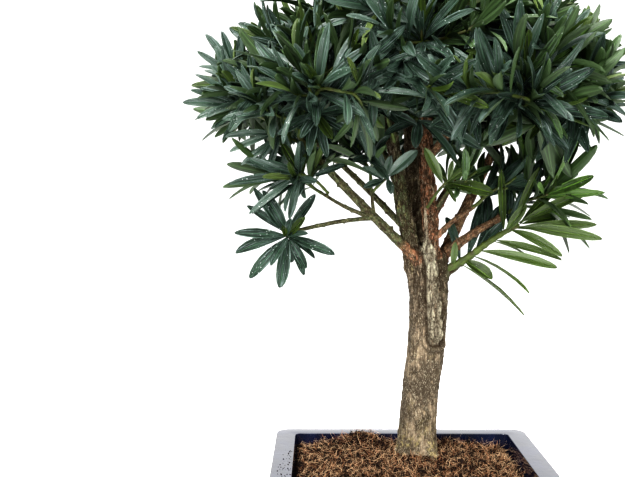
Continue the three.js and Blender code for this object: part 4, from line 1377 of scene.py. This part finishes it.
def scatter(name, surface, things, slot, **values):
    """A piece of things scattered over a surface. values are the scatter group's inputs, by their names."""
    box = bpy.data.collections.new(name + "_things")
    bpy.context.scene.collection.children.link(box)
    for thing in things:
        bpy.context.scene.collection.objects.unlink(thing)
        box.objects.link(thing)
    piece = add_object(name, surface)
    modifier = piece.modifiers.new("scatter", "NODES")
    modifier.node_group = bpy.data.node_groups.get("scatter") or scatter_tree("scatter")
    values = {"Things": box, "Turn": 2 * math.pi, **values}
    for item in modifier.node_group.interface.items_tree:
        if item.in_out == "INPUT" and item.name in values:
            modifier[item.identifier] = values[item.name]
    settle(piece)
    for thing in things:
        bpy.data.objects.remove(thing)
    bpy.data.collections.remove(box)
    if not piece.data.polygons:
        raise RuntimeError(name + " came out empty")
    finish_piece(piece, slot)


def fibre(name, span, radius, curl, roll):
    """A curled fibre that lies along X with its middle near the ground."""
    line = []
    turn, dip = (roll() - 0.5) * 0.6, 0.0
    at = Vector((-span / 2, 0, radius))
    for _ in range(7):
        line.append(at.copy())
        turn += (roll() - 0.5) * curl
        dip = 0.75 * dip + (roll() - 0.5) * curl * 0.55
        flat = math.cos(dip)
        at += Vector((math.cos(turn) * flat, math.sin(turn) * flat, math.sin(dip))) * span / 6
    radii = [radius * w for w in (0.5, 0.9, 1, 1, 0.95, 0.8, 0.4)]
    points, quads, triangles = tube(line, radii, 3)
    return new_piece(name, points, [quads, triangles], [])


# How much wider, narrower and lower a crumb is than a ball.
CRUMB_SHAPE = Vector((1.3, 0.9, 0.6))


def crumb(name, size, roll):
    """A rough lump."""
    work = bmesh.new()
    bmesh.ops.create_icosphere(work, subdivisions=1, radius=size * MM)
    for vertex in work.verts:
        vertex.co = Vector([c * s for c, s in zip(vertex.co, CRUMB_SHAPE)]) * (0.7 + 0.6 * roll())
    return add_object(name, mesh_from(work, name))


class BONSAI_OT_soil(Operator):
    """Makes the soil: its lumpy surface, the coir fibres and the dark crumbs on it"""

    bl_idname = "bonsai.soil"
    bl_label = "Soil"

    def execute(self, context):
        soil, pot = context.scene.bonsai_soil, context.scene.bonsai_pot
        height = POT_HIGH.z / MM
        inset = pot.rim_width / MM + pot.taper / MM * (height - SOIL["edge"]) / (height - POT_FLOOR) + 0.4
        half_x, half_y = POT_HIGH.x / MM - inset, POT_HIGH.y / MM - inset
        corner = (pot.corner - pot.wall) / MM
        x, y = soil_grid(half_x, half_y, corner, soil.cell / MM)
        flat = np.stack([x.ravel(), y.ravel(), np.zeros(x.size)], -1)
        lumps = rough(flat, 24) * 1.4 + rough(flat, 7, offset=5) * 1.9 + rough(flat, 3.4, offset=9) * 0.8
        from_wall = np.minimum(half_x - np.abs(x), half_y - np.abs(y))
        ditch = soil.ditch / MM * smoothstep(26, 4, from_wall)
        z = soil_level(x, y) + soil.lump / MM * lumps.reshape(x.shape) - ditch
        z = np.minimum(z, height - SOIL["below_rim"] + heap_of("mound", x, y))
        top = np.stack([x, y, z], -1)
        rows, columns = x.shape
        index = np.arange(x.size).reshape(rows, columns)
        quads = np.stack([index[:-1, :-1], index[:-1, 1:], index[1:, 1:], index[1:, :-1]], -1).reshape(-1, 4)
        rim = np.concatenate([index[0, :-1], index[:-1, -1], index[-1, :0:-1], index[:0:-1, 0]])
        low = top.reshape(-1, 3)[rim].copy()
        bottom = SOIL["edge"] - SOIL["skirt"]
        low[:, 2] = bottom
        base = x.size + np.arange(len(rim))
        skirt = np.stack([rim, base, np.roll(base, -1), np.roll(rim, -1)], -1)
        points = np.vstack([top.reshape(-1, 3), low, (0, 0, bottom)])
        fan = np.stack([np.roll(base, -1), base, np.full(len(rim), len(points) - 1)], -1)
        earth = earth_material("peaty_soil", soil.soil, 0.4, 260)
        piece = new_piece("soil_bed", points, [quads, skirt, fan], [earth])
        finish_piece(piece, "soil", "soil")

        inner = np.abs(top[..., :2]) / (half_x - 5, half_y - 5)
        keep = (inner.max(-1).ravel()[quads] < 1).all(axis=1)
        surface = new_piece("surface", top.reshape(-1, 3), [quads[keep]], []).data
        roll = dice(7)
        kinds = (
            ("coir_brown", soil.fibre, 0.32, 0.22, (5, 14), 2.9, 3, 0.34),
            ("coir_red", scaled(soil.fibre, 0.45), 0.38, 0.27, (5, 13), 2.9, 6, 0.34),
            ("coir_dark", scaled(soil.fibre, 0.09), 0.39, 0.43, (4, 10), 2.6, 4, 0.4),
            ("coir_pale", soil.straw, 0.34, 0.16, (8, 22), 2.0, 5, 0.28),
        )
        for name, shade, share, radius, spans, curl, seed, tilt in kinds:
            fibres = []
            for i in range(9):
                span = spans[0] + (spans[1] - spans[0]) * roll()
                fibres.append(fibre(f"{name}_{i}", span, radius * (0.7 + 0.7 * roll()), curl, roll))
            scatter(
                name, surface.copy(), fibres, "soil", Finish=earth_material(name, shade, 0.6, 320, 0.85),
                Density=soil.fibres * share, Seed=seed, Tilt=tilt, Smallest=0.5, Largest=1.15,
            )
        crumbs = [crumb(f"crumb_{i}", 1.2 + 1.1 * roll(), roll) for i in range(6)]
        dark = earth_material("soil_crumbs", soil.crumb, 0.5, 300)
        scatter(
            "soil_crumbs", surface.copy(), crumbs, "soil", Finish=dark,
            Density=soil.crumbs, Seed=11, Tilt=1.2, Smallest=0.5, Largest=1.5,
        )

        bpy.data.objects.remove(bpy.data.objects["surface"])
        edge_x, edge_y, behind = POT_HIGH.x / MM - 5, 86, 20
        left = -(POT_HIGH.x / MM) + pot.rim_width / MM - 1
        strip = ((-edge_x, -edge_y), (left, -edge_y), (left, behind), (-edge_x + 8, behind))
        strip = np.array([(*place, height) for place in strip])
        patch = new_piece("patch", strip, [np.array([(0, 1, 2, 3)])], [])
        grains = [crumb(f"grain_{i}", 0.45 + 0.4 * roll(), roll) for i in range(4)]
        scatter(
            "grains_on_rim", patch.data.copy(), grains, "soil", Finish=dark,
            Density=42000, Seed=13, Tilt=1.0, Smallest=0.4, Largest=1.5,
        )
        bpy.data.objects.remove(patch)
        return {"FINISHED"}


# ------------------------------------------------------------------ bark

def trunk_tube():
    """The trunk with its root flare, ribs and the swelling below the fork."""
    line = smooth_path(TRUNK["line"], 3)
    sides = 72
    turn = angles_round(sides)[None]
    rise = (line[:, 2] - TRUNK["ground"])[:, None]
    t = np.clip((line[:, 2] - line[0, 2]) / (line[-1, 2] - line[0, 2]), 0, 1)[:, None]
    foot = np.exp(-np.maximum(rise, -4) / TRUNK["flare_height"])
    radii = TRUNK["radius"] + TRUNK["flare"] * foot + 0 * turn
    for towards, reach in TRUNK["roots"]:
        radii = radii + foot * reach * np.maximum(0, np.cos(turn + math.radians(towards))) ** 6
    for count, depth, twist in TRUNK["furrows"]:
        radii = radii + depth * np.cos(count * turn + twist * t)
    radii = radii + TRUNK["fork_swell"] * np.maximum(0, t - TRUNK["fork_from"]) / (1 - TRUNK["fork_from"])
    crown = np.radians((25, 50, 70, 84))
    line = np.vstack([line, line[-1] + np.outer(np.sin(crown), (-1.5, 0, 16))])
    radii = np.vstack([radii, radii[-1] * np.cos(crown)[:, None]])
    return tube(line, radii, sides)


def limb_tube(name, step, collar):
    """A limb's line and its radius along it, with a collar at its foot."""
    line = smooth_path(LIMB_PATHS[name], step)
    start, end = LIMB_RADII[name]
    t = np.linspace(0, 1, len(line))
    run = np.arange(len(line)) * step
    return line, (start + (end - start) * t) * (1 + collar * np.exp(-run / (3.2 * start)))


def bough_foot(name, lines):
    """A bough's foot: from the axis of what carries it, out to where the bough's own bark takes over."""
    root, ahead = LIMB_PATHS[name][:2]
    way = (ahead - root).normalized()
    start = LIMB_RADII[name][0]
    axes = np.vstack(list(lines.values()))
    below = np.array(root) - (0, 0, 0.8 * start)
    axis = axes[np.argmin(((axes - below) ** 2).sum(1))]
    line = smooth_path([axis, root, root + way * 14, root + way * 32], 2.5)
    run = np.maximum(0, (line - np.array(root)) @ np.array(way))
    return line, start * (1 + 0.12 * np.exp(-run / 8)) - 1.3 * smoothstep(14, 32, run)


def stem_lines():
    """The lines of the trunk and its stems, as close points under their names."""
    stems = {name: smooth_path(LIMB_PATHS[name], 3) for name in STEMS}
    return {"trunk": smooth_path(TRUNK["line"], 3), **stems}


def bark_zones(points, owner):
    """Where the bark is red, bare, green or has lichen, from 0 to 1, at points of the trunk and stems."""
    x, y, z = points.T
    ragged = rough(points, 7, 2.5, 30)
    front = owner == "front_stem"
    high = smoothstep(-6, 8, z - 324 + 12 * ragged + 1.6 * (x - 26))
    red = np.where(front, high, 0.0) * smoothstep(-0.6, 0.0, ragged + 0.3)
    red_feet = [name for name, *_, tint in LIMBS if tint == "red" or name == "low_left_bough"]
    red = np.where(np.isin(owner, red_feet) & ~front, 0.85, red)
    middle, width = ridge_shape(z)
    strip = smoothstep(1.1, 0.75, np.abs(x - middle) / width + 0.25 * ragged) * (y < RIDGE_BACK)
    pale = strip * smoothstep(200, 214, z) * smoothstep(386, 350, z)
    pale = pale * (0.6 + 0.4 * ragged + 0.5 * smoothstep(290, 303, z) * smoothstep(330, 322, z))
    upper = np.where(owner == "left_stem", 1.0, np.where(owner == "middle_stem", 0.4, 0.0))
    green = upper * smoothstep(318, 345, z) * smoothstep(-0.7, -0.1, rough(points, 16, 2, 50))
    on_right = 0.6 * smoothstep(26, 36, x) * smoothstep(250, 278, z)
    green = np.where(owner == "trunk", on_right, green)
    green_feet = [name for name, *_, tint in LIMBS if tint in ("green", "young") and name != "low_left_bough"]
    green = np.where(np.isin(owner, green_feet), 0.9, green)
    moss = smoothstep(128, 86, z) * smoothstep(-0.1, 0.45, rough(points, 11, 1.2, 70) + 0.25)
    moss = np.maximum(moss, 0.2 * smoothstep(0.1, 0.5, rough(points, 14, 1.5, 90)) * smoothstep(300, 180, z))
    on_stems = 0.6 * np.isin(owner, ("left_stem", "middle_stem"))
    on_stems = on_stems * smoothstep(0.0, 0.4, rough(points, 8, 1.6, 130))
    moss = np.maximum(moss, on_stems)
    return {"red": red, "pale": np.clip(pale, 0, 1), "green": green, "moss": moss}


def ridge_shape(z):
    """Where the middle of the bare ridge lies at a height, and half its width."""
    middle = np.interp(z, (200, 222, 252, 300, 330, 385), (31, 31.5, 30, 27, 20, 16.5))
    return middle, np.interp(z, (204, 214, 300, 322, 334, 385), (4, 10.5, 9.5, 7.5, 2.6, 1.4))


def plates(points, width, height, offset):
    """Flaky plates: how far each point is from a crack between two, and a number for the plate it is on."""
    grain = points / (width, width, height) + offset
    grain[:, 0] += 0.4 * rough(points, 9, 2, offset)
    border, number = np.empty(len(points)), np.empty(len(points))
    for i, place in enumerate(grain):
        distances, centres = noise.voronoi(Vector(place))
        border[i] = distances[1] - distances[0]
        number[i] = noise.cell(centres[0] * 7.13)
    return border, number


class BONSAI_OT_trunk(Operator):
    """Makes the trunk and its main stems as one piece of furrowed bark"""

    bl_idname = "bonsai.trunk"
    bl_label = "Trunk"

    def execute(self, context):
        bark = context.scene.bonsai_bark
        stems = stem_lines()
        feet = {name: bough_foot(name, stems) for name, *_ in LIMBS if name not in (*STEMS, *SIDE_TWIGS)}
        parts = [trunk_tube()]
        parts += [tube(*limb_tube(name, 4, 0.1), 28) for name in STEMS]
        parts += [tube(line, radii, 20) for line, radii in feet.values()]
        crevice = smooth_path(CREVICE, 4)
        parts.append(tube(crevice, np.full(len(crevice), CREVICE_RADIUS), 12))
        ridge = smooth_path([p[:3] for p in RIDGE], 4)
        radii = np.interp(ridge[:, 2], [p[2] for p in RIDGE], [p[3] for p in RIDGE])
        parts.append(tube(ridge, radii, 24))
        points, quads, triangles = join_parts(parts)
        piece = new_piece("trunk_bark", points, [quads, triangles], [])
        remesh = piece.modifiers.new("remesh", "REMESH")
        remesh.mode = "VOXEL"
        remesh.voxel_size = bark.voxel
        blend = piece.modifiers.new("blend", "SMOOTH")
        blend.factor = 0.5
        blend.iterations = 5
        settle(piece)
        lines = {**stems, **{name: line for name, (line, _) in feet.items()}}
        self.carve(piece, bark.relief / MM, lines)
        dress(piece, context.scene.bonsai_bark_material)
        finish_piece(piece, "bark", "trunk", *STEMS)
        return {"FINISHED"}

    @staticmethod
    def carve(piece, depth, lines):
        """Presses furrows, plates and fibres into the bark, and notes where each shade of it lies, with
        painted shade in the wounds, on the middle stem and on the right side, and painted light on the stems
        above the fork.
        """
        points, normals = arrays_of(piece.data)
        points = points / MM
        names = np.array(list(lines))
        nearest = np.stack([distance_to(points, line, name) for name, line in lines.items()])
        owner = names[nearest.argmin(0)]
        zones = bark_zones(points, owner)
        x, y, z = points.T
        middle, width = ridge_shape(z)
        on_ridge = smoothstep(1.3, 0.9, np.abs(x - middle) / width) * (y < RIDGE_BACK)
        smooth_foot = smoothstep(300, 212, z) * (1 - on_ridge * smoothstep(200, 208, z))
        slim = np.where(owner == "trunk", 1.0, np.where(np.isin(owner, STEMS), 0.8, 0.4))
        border, number = plates(points, 4.2, 15, 3.0)
        crack = np.exp(-((border / 0.13) ** 2)) * (1 - 0.7 * smooth_foot)
        chip_border, chip_number = plates(points, 3.4, 4.6, 11.0)
        chip = np.exp(-((chip_border / 0.11) ** 2)) * (1 - 0.8 * smooth_foot)
        strand = rough(points, 1.7, 9, 20)
        wrinkle = rough(points * (1, 1, 1.6), 3.2, 1, 60)
        waves = np.where(np.isin(owner, STEMS), 2.2, 1.5)
        lift = waves * rough(points, 15, 2.4) + 1.3 * (number - 0.5) * (1 - 0.75 * smooth_foot) - 0.9 * crack
        lift += 0.5 * (chip_number - 0.5) * (1 - 0.6 * smooth_foot) - 0.35 * chip + 0.4 * strand
        lift += 0.5 * wrinkle * smooth_foot
        lift = lift * slim
        beside = np.exp(-(((np.abs(x - middle) - width) / 1.7) ** 2)) * (y < RIDGE_BACK)
        beside *= smoothstep(206, 216, z) * smoothstep(322, 300, z)
        lift -= 2.1 * beside
        # hollow is the painted shade of the wounds.
        wound, hollow = wounds(points)
        moved = points + normals * ((lift + wound) * depth)[:, None]
        piece.data.vertices.foreach_set("co", (moved * MM).astype(np.float32).ravel())
        dark = 0.85 * crack * (1 - 0.5 * zones["pale"]) + 0.35 * chip + 0.3 * smoothstep(0.1, -0.5, strand)
        # Painted shade: the middle stem above the fork is darkened, as if in shade between the other stems.
        shaded = 0.78 * (owner == "middle_stem") * smoothstep(318, 345, z) * smoothstep(-0.5, 0.2, strand)
        # Painted shade: the right side is darker from below the fork up.
        shaded_right_side = 0.45 * smoothstep(34, 40, x) * smoothstep(250, 275, z)
        dark = np.maximum.reduce([dark, 0.85 * beside, hollow, shaded, shaded_right_side])
        # relief holds the real cracks and grooves together with the painted shade.
        zones["relief"] = np.clip(dark, 0, 1)
        zones["flaky"] = (1 - 0.8 * smooth_foot) * (1 - 0.5 * zones["pale"])
        tone = 0.15 + (0.45 - 0.25 * smooth_foot) * number + 0.35 * chip_number + 0.35 * strand
        patches = rough(points, 19, 1.3, 110)
        tone += smooth_foot * (0.1 + 0.2 * wrinkle + 0.75 * patches)
        tone -= 0.14 * smoothstep(125, 150, z) * smoothstep(270, 245, z)
        # Painted light: the stems above the fork are lighter, against the shade of the crown.
        tone += 0.5 * smoothstep(320, 345, z)
        zones["tone"] = np.clip(tone, 0, 1)
        add_values(piece.data, zones)
        piece.data.update()


def distance_to(points, line, name):
    """How far each point lies outside a limb's surface, to its nearest ring."""
    best = np.full(len(points), 1e9)
    for p in line[::2]:
        best = np.minimum(best, ((points - p) ** 2).sum(1))
    radius = TRUNK["radius"] if name == "trunk" else LIMB_RADII[name][0]
    return np.sqrt(best) - radius


# Old wounds on the front of the trunk: x, z, radius, and how far the middle sinks and the lip stands out.
WOUNDS = [
    (31, 214.5, 12, -2.0, 2.7), (7, 177, 5, -2.2, 0.5), (13, 152, 6, -0.7, 0.4), (30, 146, 5, -0.6, 0.6),
]


def wounds(points):
    """Healed wounds, each a hollow in a raised lip that is open at the top: the lift, and the dark, a painted
    shade in the hollow, round the inside of the lip and under it.
    """
    lift, dark = np.zeros(len(points)), np.zeros(len(points))
    x, y, z = points.T
    for wound_x, wound_z, radius, hollow, lip in WOUNDS:
        away = np.hypot(x - wound_x, (z - wound_z) * 1.1) / radius
        on_front = y < 34
        below = smoothstep(wound_z + 0.5 * radius, wound_z - 0.3 * radius, z)
        below = below * on_front * smoothstep(45, 40, x)
        # Painted shade: the dark lies round the inside of the lip, in a line under it and in each sunk
        # middle.
        within = np.exp(-(((away - 0.66) / 0.18) ** 2)) * below
        under = np.exp(-(((away - 1.3) / 0.15) ** 2)) * below
        lift += on_front * hollow * np.exp(-((away / 0.6) ** 2))
        lift += below * lip * np.exp(-(((away - 1) / 0.17) ** 2))
        middle = on_front * np.exp(-((away / 0.4) ** 2))
        ring = lip / 2.6 * (within + 0.7 * under)
        dark = np.maximum(dark, -hollow * (0.5 * ring + 0.4 * middle))
    return lift, dark


# How far apart the rings of a bough lie.
BOUGH_STEP = 1.5


class BONSAI_OT_boughs(Operator):
    """Makes the boughs, with a collar at the foot of each side twig; the feet of the others are in the
    trunk's piece
    """

    bl_idname = "bonsai.boughs"
    bl_label = "Boughs"

    def execute(self, context):
        parts, tints, names = [], [], []
        for name, _, _, _, _, _, tint in LIMBS:
            if name in STEMS or name == GREEN_LIMB:
                continue
            line, radii = limb_tube(name, BOUGH_STEP, 0.3 if name in SIDE_TWIGS else 0)
            sides = 22 if radii.max() > 4 else 16
            shape = (len(line), sides)
            turn = angles_round(sides)
            run = np.arange(len(line))[:, None] * BOUGH_STEP
            around = np.stack([np.cos(turn) * 3 + 0 * run, np.sin(turn) * 3 + 0 * run, run + 0 * turn], -1)
            grain = around.reshape(-1, 3) + 40 * len(parts)
            splits = smoothstep(0.5, 1, 1 - np.abs(rough(grain, 2.6, 6)) * 2.6).reshape(shape)
            fine = rough(grain, 1.2, 3, 4).reshape(shape)
            wavy = rough(np.repeat(line, sides, axis=0), 17, 1, 60).reshape(shape)
            knobs, rings = self.leaf_scars(run, turn[None], dice(len(parts) + 41))
            lift = 0.55 * wavy - 0.4 * splits + 3.4 * knobs + 0.3 * rings + 0.25 * fine
            scale = np.clip(radii / 5, 0.5, 1)[:, None]
            parts.append(tube(line, radii[:, None] + lift * scale, sides))
            base = smoothstep(30, 18, run) * np.ones((1, sides))
            dark = np.clip(0.6 * splits + 0.5 * rings + 0.4 * smoothstep(0.1, -0.5, fine), 0, 1)
            # Painted shade: red boughs, which stand on the right under the leaves, get a darker middle tone.
            middle = 0.18 if tint == "red" else 0.34
            tints.append(self.tints(tint, name, base, dark, np.clip(middle + fine + 0.4 * knobs, 0, 1)))
            names.append(name)
        points, quads, triangles = join_parts(parts)
        values = {key: np.concatenate([t[key] for t in tints]) for key in tints[0]}
        material = context.scene.bonsai_bark_material
        piece = new_piece("bough_bark", points, [quads, triangles], [material], values=values)
        finish_piece(piece, "bark", *names)
        return {"FINISHED"}

    @staticmethod
    def leaf_scars(run, turn, roll):
        """The marks of fallen leaves: a knob every few millimetres up a spiral, with a faint ring at each."""
        knobs, rings = 0 * run * turn, 0 * run * turn
        place, angle = 10 * roll(), 6 * roll()
        while place < run.max():
            gap = np.angle(np.exp(1j * (turn - angle)))
            size = 0.35 + 0.65 * roll()
            knobs += size * np.exp(-(((run - place) / 1.4) ** 2)) * np.exp(-((gap / 0.45) ** 2))
            rings += 0.7 * size * np.exp(-(((run - place - 1.5) / 0.8) ** 2))
            place += 5 + 8 * roll()
            angle += math.radians(GOLDEN_ANGLE)
        return knobs, np.minimum(1, rings)

    @staticmethod
    def tints(tint, name, base, dark, tone):
        """The shades of one bough's bark, with two more values for the points of its ends."""
        red = {"red": 0.7, "green": 0.0, "old": 0.12, "young": 0.0}[tint] + 0 * base
        green = {"red": 0.5, "green": 1.0, "old": 0.35, "young": 1.0}[tint] + 0 * base
        if name == "low_left_bough":
            red = np.maximum(red, base)
        shades = {
            "red": red, "green": green, "pale": 0 * base, "moss": 0.2 + 0 * base,
            "relief": dark, "tone": tone, "flaky": 0.35 + 0.5 * red,
        }
        return {key: np.append(v.ravel(), (v.flat[0], v.flat[-1])) for key, v in shades.items()}


class BONSAI_OT_flakes(Operator):
    """Scatters loose flakes of bark over the trunk and the stems"""

    bl_idname = "bonsai.flakes"
    bl_label = "Bark Flakes"

    def execute(self, context):
        bark = context.scene.bonsai_bark
        trunk = bpy.data.objects["trunk_bark"].data
        work = bmesh.new()
        work.from_mesh(trunk)
        firm = []
        for face in work.faces:
            centre = face.calc_center_median() / MM
            beside = centre.x > np.interp(centre.z, (80, 300), (20, 34))
            if centre.z < 92 or (centre.z < 236 and not beside):
                firm.append(face)
        bmesh.ops.delete(work, geom=firm, context="FACES")
        surface = mesh_from(work, "flaky")
        surface.materials.clear()
        roll = dice(21)
        flakes = [self.flake(f"flake_{i}", roll) for i in range(7)]
        material = earth_material("loose_bark", scaled(bark.old, 0.8), 0.35, 240)
        scatter(
            "bark_flakes", surface, flakes, "bark", Finish=material,
            Density=bark.flakes, Seed=5, Tilt=0.12, Smallest=0.5, Largest=1.2, Turn=0.5,
        )
        return {"FINISHED"}

    @staticmethod
    def flake(name, roll):
        """A thin strip of bark that curls away from the surface at one end, with its length along Y."""
        span, width = 3.5 + 7 * roll() ** 2, 1.3 + 1.5 * roll()
        rows, lift = 5, 0.6 + 1.5 * roll()
        points = []
        for under in (0, 1):
            for i in range(rows + 1):
                t = i / rows
                half = width / 2 * (1 - 0.75 * t ** 3) * (0.75 + 0.4 * roll())
                z = lift * t * t - 0.2 - 0.35 * under
                y = (t - 0.35) * span
                points += [(-half, y, z), (0, y, z + 0.25), (half, y, z)]
        top = 3 * (rows + 1)
        quads = []
        for i in range(rows):
            a = 3 * i
            for k in (0, 1):
                quads.append((a + k, a + k + 1, a + k + 4, a + k + 3))
                quads.append((top + a + k + 3, top + a + k + 4, top + a + k + 1, top + a + k))
            quads.append((a, a + 3, top + a + 3, top + a))
            quads.append((top + a + 2, top + a + 5, a + 5, a + 2))
        last = 3 * rows
        for k in (0, 1):
            quads.append((top + k, top + k + 1, k + 1, k))
            quads.append((last + k, last + k + 1, top + last + k + 1, top + last + k))
        return new_piece(name, np.array(points), [np.array(quads)], [], smooth=False)


# ------------------------------------------------------------------ foliage

def twig_tube(twig):
    path = resample([tuple(p) for p in twig["path"]], 4)
    t = np.linspace(0, 1, len(path))
    start, end = twig["radius"]
    knots = 1 + 0.14 * np.sin(np.arange(len(path)) * 2.4 + path[0][0])
    return tube(path, (start + (end - start) * t) * knots, 12 if start > 4 else 6)


class BONSAI_OT_foliage(Operator):
    """Grows the twigs and leaves of every mass of foliage from its limb"""

    bl_idname = "bonsai.foliage"
    bl_label = "Foliage"

    def execute(self, context):
        sizes = context.scene.bonsai_leaf
        materials = foliage_materials(sizes)
        green_twig = twig_material(sizes)
        for i, mass in enumerate(MASS_LIST):
            roll = dice(FIRST_SEED + i)
            twigs, leaves = self.grow(mass, sizes, roll)
            slot = "young_foliage" if mass["young"] else "foliage"
            name = mass["name"].replace("_foliage", "")
            finish_piece(leaves_mesh(name + "_leaves", leaves, materials), slot, mass["name"])
            points, quads, triangles = join_parts([twig_tube(t) for t in twigs])
            piece = new_piece(name + "_twigs", points, [quads, triangles], [green_twig])
            if mass["limb"] == GREEN_LIMB:
                finish_piece(piece, "young_bark", GREEN_LIMB)
            else:
                finish_piece(piece, slot)
        return {"FINISHED"}

    @staticmethod
    def grow(mass, sizes, roll):
        """A mass's twigs and leaves. Those of the two shoots that hang free are placed one by one."""
        heart = Vector(mass["heart"])
        if mass["name"] == "hanging_foliage":
            axis = Vector((-4, -8, -2)).normalized()
            end, away, foot = limb_end(mass)
            bend = end + away * SHOOTS["straight"]
            path = [end - away * SHOOTS["sunk"], *twig_path(bend, away, heart, axis, 10)]
            leaves = set_leaves(HANGING_LEAVES, path, DARK, roll)
            leaves += set_leaves(HANGING_YOUNG, path, YOUNG, roll)
            # Painted shade: the hanging shoot's leaves get the darkest tones.
            for leaf in leaves:
                leaf["tone"] *= 0.15
            return [{"path": path, "radius": (foot, 2.4)}], leaves
        if mass["name"] == "green_shoot_foliage":
            path = [Vector(p) for p in smooth_path(GREEN_STEM, 3)]
            twigs = [{"path": path, "radius": GREEN_STEM_RADII}]
            leaves = set_leaves(GREEN_LEAVES, path, YOUNG, roll)
            leaves += set_leaves(GREEN_DARK_LEAVES, path, DARK, roll)
            for twig in grow_twigs(mass, roll)[2:5]:
                if twig["path"][-1].y > heart.y:
                    twigs.append(twig)
                    leaves += shoot_leaves(mass, twig, sizes, roll)
            return twigs, leaves
        twigs = grow_twigs(mass, roll)
        leaves = [leaf for twig in twigs if twig["share"] for leaf in shoot_leaves(mass, twig, sizes, roll)]
        for owner, kind, line, rows in FRONT_SHOOTS:
            if owner == mass["name"]:
                path = [Vector(p) for p in smooth_path(line, 3)]
                twigs.append({"path": path, "radius": (2, 1.6)})
                leaves += set_leaves(rows, path, kind, roll)
        return twigs, leaves


# ------------------------------------------------------------------ stage

def area_light(name, place, target, size, power, mirrored):
    light = bpy.data.lights.new(name, "AREA")
    light.shape = "RECTANGLE"
    light.size, light.size_y = size
    light.energy = power
    lamp = bpy.data.objects.new(name, light)
    lamp.location = place
    lamp.rotation_euler = (Vector(target) - Vector(place)).to_track_quat("-Z", "Y").to_euler()
    lamp.visible_camera = False
    lamp.visible_glossy = mirrored
    bpy.context.scene.collection.objects.link(lamp)


# Name, place, target, size and power of each lamp, and whether glossy things mirror it.
LAMPS = (
    ("top", (-0.1, -0.15, 2.5), (0, 0, 0), (3.4, 3.4), 128, True),
    ("key", (-1.0, -1.5, 1.6), (0, 0, 0.42), (1.0, 1.0), 62, True),
    ("front", (-0.5, -2.0, 0.45), (0, 0, 0.25), (1.4, 0.8), 18, False),
    ("fill", (1.5, -1.0, 0.9), (0, 0, 0.4), (2.0, 1.6), 32, False),
    ("back", (0.1, 1.9, 0.72), (0, 0, 0.2), (2.6, 0.9), 6, True),
    ("rear", (0.5, 1.7, 1.5), (0, 0, 0.45), (1.6, 1.2), 26, False),
)
FLOOR_SIDES = 96


class BONSAI_OT_stage(Operator):
    """Sets up the camera, the white room, the pale floor and the soft lights"""

    bl_idname = "bonsai.stage"
    bl_label = "Stage"

    def execute(self, context):
        stage, scene = context.scene.bonsai_stage, context.scene
        lens = bpy.data.cameras.new("camera")
        lens.lens = stage.lens
        lens.sensor_width = 36
        lens.clip_start = 0.01
        camera = bpy.data.objects.new("camera", lens)
        camera.location = stage.camera_place
        camera.rotation_euler = Euler((math.pi / 2 - stage.camera_dip, 0, stage.camera_turn))
        scene.collection.objects.link(camera)
        scene.camera = camera

        world = bpy.data.worlds.new("white_room")
        world.use_nodes = True
        tree = world.node_tree
        seen = add_node(tree, "ShaderNodeLightPath").outputs["Is Camera Ray"]
        feed(tree, tree.nodes["Background"], {
            "Color": (1, 1, 1, 1), "Strength": between(tree, seen, stage.room_light, stage.backdrop),
        })
        scene.world = world
        scene.view_settings.view_transform = "Standard"
        scene.view_settings.look = "High Contrast"

        turn = angles_round(FLOOR_SIDES)
        edge = np.stack([np.cos(turn), np.sin(turn), 0 * turn], -1) * stage.floor_radius / MM
        floor = new_piece("floor", edge, [np.arange(FLOOR_SIDES)[None]], [self.floor_material()])
        for lamp in LAMPS:
            area_light(*lamp)
        return {"FINISHED"}

    @staticmethod
    def floor_material():
        material, tree, shader = new_material("pale_floor")
        shade = toned(tree, mottle(tree, 3), (1.0, 1.0, 1.0), 0.86, 0.9)
        feed(tree, shader, {"Base Color": shade, "Roughness": 0.8})
        return material


# ------------------------------------------------------------------ panel and registration

BUILDERS = (
    BONSAI_OT_stage, BONSAI_OT_pot, BONSAI_OT_soil, BONSAI_OT_trunk,
    BONSAI_OT_boughs, BONSAI_OT_flakes, BONSAI_OT_foliage,
)
SETTINGS = {
    "bonsai_pot": PotSettings, "bonsai_soil": SoilSettings, "bonsai_bark": BarkSettings,
    "bonsai_leaf": LeafSettings, "bonsai_stage": StageSettings,
}


class BONSAI_PT_panel(Panel):
    """Lists the steps that build the bonsai, with their settings"""

    bl_label = "Podocarpus Bonsai"
    bl_idname = "BONSAI_PT_panel"
    bl_space_type = "VIEW_3D"
    bl_region_type = "UI"
    bl_category = "Bonsai"

    def draw(self, context):
        for name in SETTINGS:
            box = self.layout.box()
            group = getattr(context.scene, name)
            for key in group.bl_rna.properties.keys()[2:]:
                box.prop(group, key)
        for step in BUILDERS:
            self.layout.operator(step.bl_idname)


def register():
    for cls in (*SETTINGS.values(), *BUILDERS, BONSAI_PT_panel):
        bpy.utils.register_class(cls)
    for name, cls in SETTINGS.items():
        setattr(bpy.types.Scene, name, PointerProperty(type=cls))
    bpy.types.Scene.bonsai_bark_material = PointerProperty(type=bpy.types.Material)


def unregister():
    del bpy.types.Scene.bonsai_bark_material
    for name in SETTINGS:
        delattr(bpy.types.Scene, name)
    for cls in reversed((*SETTINGS.values(), *BUILDERS, BONSAI_PT_panel)):
        bpy.utils.unregister_class(cls)


def main():
    register()
    scene = bpy.context.scene
    scene.bonsai_bark_material = bark_material(scene.bonsai_bark)
    for step in BUILDERS:
        space, name = step.bl_idname.split(".")
        getattr(getattr(bpy.ops, space), name)()


if __name__ == "__main__":
    main()
